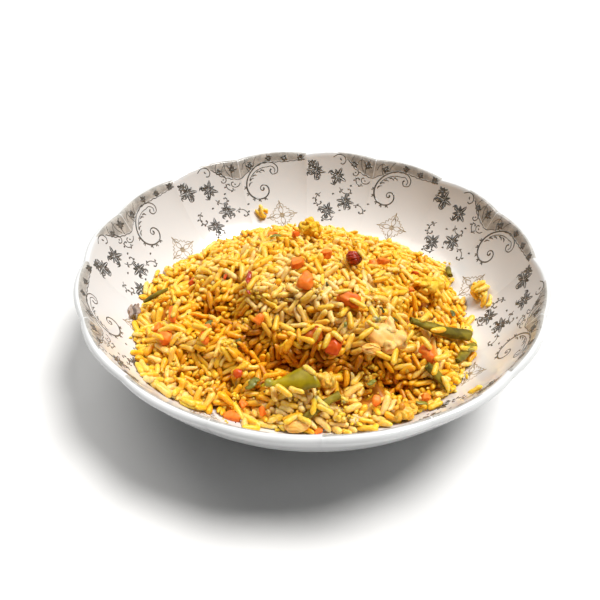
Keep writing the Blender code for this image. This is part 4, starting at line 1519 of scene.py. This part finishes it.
# How deep the core lies under the mound's outline, in millimetres: before the relief, deeper
# in the shaded parts, and at the least and the most. Then how far it stays inside its edge.
CORE_DEPTH, CORE_SHADE_DEPTH = 5.6, 3.0
CORE_LEAST, CORE_MOST = 4.6, 16
CORE_INSET = 4.5


def make_core():
    """A smaller, bumpy mound of packed rice under the grains, out of sight but for the gaps between
    them; it is coloured dark brown as painted shade in those gaps.
    """
    azimuth = np.linspace(0, FULL_TURN, CORE_SIDES, endpoint=False)
    edge = SURFACE.edge_radius(azimuth) - CORE_INSET
    share = np.linspace(0.02, 1, CORE_RINGS)[:, None] ** 0.8
    flat = circled(edge * share, azimuth, 0.0).reshape(-1, 3)
    flat[:, 2] = SURFACE.height(flat)
    depth = CORE_DEPTH + CORE_SHADE_DEPTH * np.clip(bumps(flat, SHADED), 0, 1)
    depth = np.clip(depth - mound_relief(flat), CORE_LEAST, CORE_MOST)
    top = flat - SURFACE.normal(flat) * depth[:, None]
    top[:, 2] += (0.7 * wavy(top, 0.16, np.random.default_rng(3))
                  + 0.4 * wavy(top, 0.5, np.random.default_rng(4)))
    top[:, 2] = np.maximum(top[:, 2], well_height(flat_distance(top)) + 1.0)
    radius = edge * np.linspace(0.94, 0.02, CORE_BASE_RINGS)[:, None]
    base = circled(radius, azimuth, well_height(radius) + 0.6)
    loft = np.concatenate([top.reshape(CORE_RINGS, CORE_SIDES, 3), base])[:, ::-1]
    shape = Shape()
    shape.add_loft(loft, [(0, 0, loft[0, :, 2].mean()), (0, 0, FLOOR_HEIGHT + 0.6)])
    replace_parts(shape.make("rice_core", "packed_rice_painted_shade", "rice"), "rice_heap")


def in_clefts(middles, wide, deep_share):
    """Which grains lie in a cleft."""
    inside = np.zeros(len(middles), bool)
    for x, y, radius, deep in CLEFTS:
        near = flat_distance(middles, x, y) < radius * wide
        inside |= near & (SURFACE.above(middles) > -deep * deep_share)
    return inside


def pack_mound():
    """Where the mound's grains lie: middles, directions, lengths, widths."""
    count = GRAIN_COUNT + BROKEN_COUNT
    lengths = np.concatenate([RNG.uniform(*GRAIN_LENGTH, GRAIN_COUNT),
                              RNG.uniform(*BROKEN_LENGTH, BROKEN_COUNT)])
    widths = RNG.uniform(*GRAIN_WIDTH, count)
    middles = scatter_in_mound(count, RNG.uniform(0.6, SHELL, count))
    middles = SURFACE.out(middles, mound_relief(middles))
    normal = SURFACE.normal(middles)
    direction = RNG.normal(0, 1, (count, 3))
    direction -= normal * dot(direction, normal)[:, None]
    rise = 0.65 + 0.25 * shade_share(middles)
    direction = unit(direction) + normal * (rise * RNG.normal(0, 1, count))[:, None]
    lift = RNG.normal(0, 0.6, count) + np.where(RNG.uniform(0, 1, count) < PROUD_SHARE,
                                                PROUD_LIFT, 0.0)
    fixed = topping_rods()
    keep = ~in_clefts(middles, 0.75, 1)
    for middle, along, half, radius in zip(*fixed):
        gap = middles - middle
        away = gap - np.clip(gap @ along, -half, half)[:, None] * along
        outward = SURFACE.normal(middle[None])[0]
        out = away @ outward
        flat = np.linalg.norm(away - out[:, None] * outward, axis=1)
        keep &= ~((flat < radius * 0.85) & (out > -radius * 0.6))
    middles, direction, lengths, widths, lift = (
        one[keep] for one in (middles, direction, lengths, widths, lift))
    packing = Packing(np.concatenate([middles, fixed[0]]), np.concatenate([direction, fixed[1]]),
                      np.concatenate([(lengths - widths) / 2, fixed[2]]),
                      np.concatenate([widths / 2, fixed[3]]), len(fixed[0]))
    packing.spread(RELAX_STEPS, lambda points: hold_in_mound(points, lift))
    middles, direction = packing.middle[:packing.moving], packing.direction[:packing.moving]
    proud = SURFACE.above(middles) - mound_relief(middles)
    keep = proud < np.where(lift > 1, PROUD_LIMIT, COMMON_LIMIT)
    keep &= ~in_clefts(middles, 1, 0.8)
    return middles[keep], direction[keep], lengths[keep], widths[keep]


# How a few grains on the wall are packed: steps, pull to their middle, and clearance.
CLUMP_STEPS = 90
CLUMP_PULL = 0.05
CLUMP_CLEARANCE = 1.2


def pack_clump(target, count, spread, turns=(1.0, 1.0, 0.4)):
    """A few grains that gather about a point on the bowl's wall."""
    target = np.array(target)
    middles = target + RNG.normal(0, 1, (count, 3)) * np.array(spread)
    lengths = RNG.uniform(6.0, 9.0, count)
    widths = RNG.uniform(2.4, 3.0, count)
    directions = RNG.normal(0, 1, (count, 3)) * np.array(turns)
    packing = Packing(middles, directions, (lengths - widths) / 2, widths / 2, 0)
    packing.spread(CLUMP_STEPS, lambda points: clear_of_bowl(
        points + (target - points) * CLUMP_PULL, CLUMP_CLEARANCE, WALL_PUSH))
    return packing.middle, packing.direction, lengths, widths


# How many crumbs and specks lie on the mound, how many grains are in the clump on the wall, and
# how many crumbs of each mashed lump are large ones.
CRUMB_COUNT = 620
SPECK_COUNT = 130
CLUMP_COUNT = 15
LARGE_CRUMBS = 6

# Where rice is mashed into rough lumps, in millimetres.
MASHED = ((-61, -55), (-55, -57), (-67, -50), (-49, -55), (-62, -49), (-41, -53), (-73, -37),
          (-33, -61), (-10, -71), (12, -68), (38, -70), (16, -73), (57, -56), (66, -47), (-54, -46),
          (-38, -43), (-26, -22), (-32, -32), (26, -25), (37, -28), (5, -22), (-68, 23), (-56, 18),
          (10, 33), (23, 36), (-11, 40), (50, 16), (72, 34), (25, -57))

# Grains that lie over a topping's edge: place and heading in its own level frame, and tone.
RIDERS = (("chicken_middle", ((-5.6, 4.6, -25, 0.6), (-2.4, 7.8, 15, 0.7), (-8.6, 0.6, 40, 0.5),
                              (7.4, 8.2, -50, 0.6), (-1.0, -8.6, -15, 0.4), (3.8, -8.4, 70, 0.5),
                              (-4.6, 9.6, -60, 0.6), (10.8, 1.0, 65, 0.6))),
          ("green_bean_front", ((-2.0, -5.8, -35, 0.6), (3.4, -6.0, -25, 0.7),
                                (8.6, 2.6, -40, 0.7))),
          ("green_bean_toe", ((-0.4, 1.0, -40, 0.7), (0.8, -1.6, -25, 0.6), (-3.6, 0.2, 80, 0.5))),
          ("green_bean_right", ((-3.0, -3.4, 20, 0.5), (-9.8, 1.0, 50, 0.6))),
          ("green_bean_side", ((-1.2, 0.8, 10, 0.6), (1.8, 1.6, 30, 0.6))),
          ("green_bean_low", ((-2.2, 3.6, 60, 0.5), (2.4, -2.8, -70, 0.6))),
          ("pepper_front", ((-1.4, 2.2, 30, 0.5), (2.6, -0.6, 60, 0.6), (-2.0, -2.4, -20, 0.4))),
          ("pepper_middle", ((-3.0, 1.4, 70, 0.6), (1.4, 3.4, -40, 0.6))),
          ("pepper_top", ((2.4, -1.6, -60, 0.7), (3.0, 1.8, -75, 0.6))),
          ("carrot_middle", ((-3.6, 2.2, 20, 0.7), (2.8, -3.2, -30, 0.7))),
          ("carrot_right", ((-3.4, 2.6, -50, 0.6), (3.4, -3.0, 25, 0.6))),
          ("carrot_left_strip", ((1.4, 0.2, 75, 0.6),)),
          ("carrot_left_low", ((1.8, 1.4, 15, 0.6), (-1.6, -2.0, -35, 0.5))),
          ("carrot_left_middle", ((1.6, -1.8, 55, 0.6), (-1.6, 2.2, -15, 0.6))),
          ("chilli_strip", ((1.6, -2.6, 60, 0.5),)),
          ("chicken_front", ((-2.4, 2.2, 30, 0.6), (3.2, 1.8, -30, 0.6))))
# Grains left on the wall: where, in millimetres, how many and how far they spread.
STRAYS = (((86.6, 0.4, 25.4), 2, (0.8, 0.8, 0.5)), ((65.3, -70.5, 37.6), 1, (0.1, 0.1, 0.1)),
          ((-28.2, 80.6, 25.6), 3, (1.2, 0.8, 0.6)))


def make_mound_grains():
    """The mound's grains, in three tones: mostly golden, pale as painted light where lit, amber as
    painted shade where shaded, and a few of each at random.
    """
    middles, directions, lengths, widths = pack_mound()
    count = len(middles)
    shade = shade_share(middles)
    patch = wavy(middles, 0.16, np.random.default_rng(31))
    draw = np.clip(0.5 + 0.24 * patch + RNG.normal(0, 0.22, count), 0, 1)
    # Clefts, shaded parts and the front face paint grains darker and amber (painted shade); lit
    # parts and clumps paint them paler (painted light).
    hollow = np.clip(bumps(middles, CLEFTS) / 4, 0, 1)
    lit = np.clip(bumps(middles, LIT), 0, 1)
    shade = np.clip(shade + 0.8 * hollow - 0.4 * lit, 0, 1)
    bright = 0.10 * np.clip(bumps(middles, CLUMPS) / 2, 0, 1)
    amber = draw < 0.16 + 0.48 * shade - 0.1 * lit
    pale = draw > 0.68 + 0.28 * shade - 0.16 * lit
    tones = np.clip(RNG.normal(0.57, 0.11, count) - 0.34 * shade + bright + 0.13 * lit, 0, 1)
    # Lit and shaded copies of one rice material: pale for painted light, amber for painted shade.
    for name, stops, chosen in (("golden", GOLD, ~amber & ~pale), ("pale", PALE, pale & ~amber),
                                ("amber", AMBER, amber)):
        look = rice_material(name + "_rice", stops)
        chosen = np.flatnonzero(chosen)
        parts = np.array_split(chosen, math.ceil(len(chosen) / GRAINS_IN_A_PIECE))
        for part, rows in enumerate(parts, 1):
            shape = Shape()
            add_grains(shape, *(one[rows] for one in (middles, directions, lengths, widths,
                                                      tones)))
            shape.make(f"rice_grains_{name}_{part}", look, "rice")


def make_crumbs():
    """Crumbs all over, lumps of mashed rice, and dark specks of spice."""
    crumbs, specks = Shape(), Shape()
    places = scatter_on_top(CRUMB_COUNT, RNG.uniform(0.5, 2.8, CRUMB_COUNT), 0.5)
    add_crumbs(crumbs, places, RNG.gamma(4.0, 0.09, CRUMB_COUNT) + 0.2,
               RNG.normal(0.5, 0.2, CRUMB_COUNT), 0.6)
    for place in MASHED:
        count = int(RNG.integers(14, 20))
        places = np.zeros((count, 3))
        places[:, :2] = np.array(place) + RNG.normal(0, 2.3, (count, 2))
        places[:, 2] = SURFACE.height(places)
        depth = mound_relief(places) + RNG.uniform(-1.4, 0.4, count)
        places = SURFACE.out(places, depth)
        sizes = np.where(np.arange(count) < LARGE_CRUMBS, RNG.uniform(1.0, 1.6, count),
                         RNG.uniform(0.3, 0.7, count))
        places[:LARGE_CRUMBS] -= SURFACE.normal(places[:LARGE_CRUMBS]) * 0.8
        places = clear_of_bowl(places, 0.8)
        add_crumbs(crumbs, places, sizes, RNG.normal(0.55, 0.12, count), 0.5)
    crumbs.make("rice_crumbs", rice_material("mashed_rice", GOLD, 0.42), "rice")
    places = scatter_on_top(SPECK_COUNT, RNG.uniform(-0.1, 0.9, SPECK_COUNT), 0.3)
    add_crumbs(specks, places, RNG.uniform(0.18, 0.42, SPECK_COUNT),
               RNG.uniform(0, 0.6, SPECK_COUNT), 0.3)
    specks.make("spice_specks", "spice_specks", "rice")


def make_rice():
    make_mound_grains()
    make_crumbs()
    look = bpy.data.materials["golden_rice"]
    clump, riders, loose = Shape(), Shape(), Shape()
    low, high = (np.array(corner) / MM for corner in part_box("rice_clump"))
    middle = (low + high) / 2 + (0, 0, 0.8)
    add_grains(clump, *pack_clump(middle, CLUMP_COUNT, (2.5, 2.3, 3.2), (1, 0.7, 0.6)),
               RNG.uniform(0.45, 0.9, CLUMP_COUNT))
    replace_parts(clump.make("clump_grains", look, "rice"), "rice_clump")

    for name, places in RIDERS:
        level = Level(RESTING[name])
        for x, y, heading, tone in places:
            forward, left = polar(1, math.radians(heading))
            along = (level.along * forward + level.across * left
                     + level.normal * RNG.normal(0, 0.12))
            add_grains(riders, level.to_world([(x, y, -0.3)]), unit(along[None]),
                       RNG.uniform(6.6, 8.8, 1), RNG.uniform(2.4, 2.9, 1), [tone])
    riders.make("rice_over_toppings", look, "rice")

    for target, count, spread in STRAYS:
        middles, directions, lengths, widths = pack_clump(target, count, spread)
        add_grains(loose, middles, directions, lengths * 0.95, widths, [0.6] * count, bend=0.7)
    loose.make("loose_grains", look, "rice")


# ---------------------------------------------------------------- stage, light and camera

CAMERA_PLACE = Vector((-0.00559, -0.26488, 0.24366))
CAMERA_DOWN = math.radians(39.453)
CAMERA_ROLL = math.radians(0.4274)
CAMERA_LENS = 41.80

# Two wide, soft lamps, from the right and from behind on the left, with their turn, rise and
# width in degrees and their strength. Then the colours of both and of a faint, even sky, and
# half the side of the floor in metres.
LAMPS = (("key", 12.0, 66.0, 25.0, 3.88), ("fill", 128.0, 59.0, 46.0, 1.50))
LAMP_COLOUR = (1.0, 0.985, 0.96)
SKY_COLOUR = (1.0, 0.99, 0.975, 1.0)
AMBIENT = 0.015
FLOOR_HALF = 3.0


def make_floor():
    mesh = bpy.data.meshes.new("floor")
    corners = [(-1, -1), (1, -1), (1, 1), (-1, 1)]
    mesh.from_pydata([(x * FLOOR_HALF, y * FLOOR_HALF, 0) for x, y in corners], [],
                     [(0, 1, 2, 3)])
    mesh.materials.append(floor_material())
    floor = bpy.data.objects.new("floor", mesh)
    bpy.context.scene.collection.objects.link(floor)


def make_stage():
    make_floor()
    scene = bpy.context.scene
    scene.view_settings.view_transform = "Standard"
    world = bpy.data.worlds.new("soft_studio")
    world.use_nodes = True
    nodes, links = world.node_tree.nodes, world.node_tree.links
    background = nodes["Background"]
    background.inputs["Color"].default_value = SKY_COLOUR
    path = nodes.new("ShaderNodeLightPath")
    strength = nodes.new("ShaderNodeMapRange")
    strength.inputs["To Min"].default_value = AMBIENT
    links.new(path.outputs["Is Camera Ray"], strength.inputs["Value"])
    links.new(strength.outputs[0], background.inputs["Strength"])
    scene.world = world
    for name, turn, rise, width, energy in LAMPS:
        sun = bpy.data.lights.new(name, "SUN")
        sun.angle = math.radians(width)
        sun.energy = energy
        sun.color = LAMP_COLOUR
        lamp = bpy.data.objects.new(name, sun)
        lamp.rotation_euler = (0, math.radians(90 - rise), math.radians(turn))
        scene.collection.objects.link(lamp)

    lens = bpy.data.cameras.new("camera")
    lens.sensor_width = 36.0
    lens.lens = CAMERA_LENS
    lens.clip_start = 0.01
    camera = bpy.data.objects.new("camera", lens)
    camera.matrix_world = (Matrix.Translation(CAMERA_PLACE)
                           @ Matrix.Rotation(math.pi / 2 - CAMERA_DOWN, 4, "X")
                           @ Matrix.Rotation(CAMERA_ROLL, 4, "Z"))
    scene.collection.objects.link(camera)
    scene.camera = camera


make_stage()
make_bowl()
make_print()
make_core()
make_beans()
make_carrots()
make_peppers()
make_meat()
make_soft_lumps()
make_small_pieces()
make_rice()
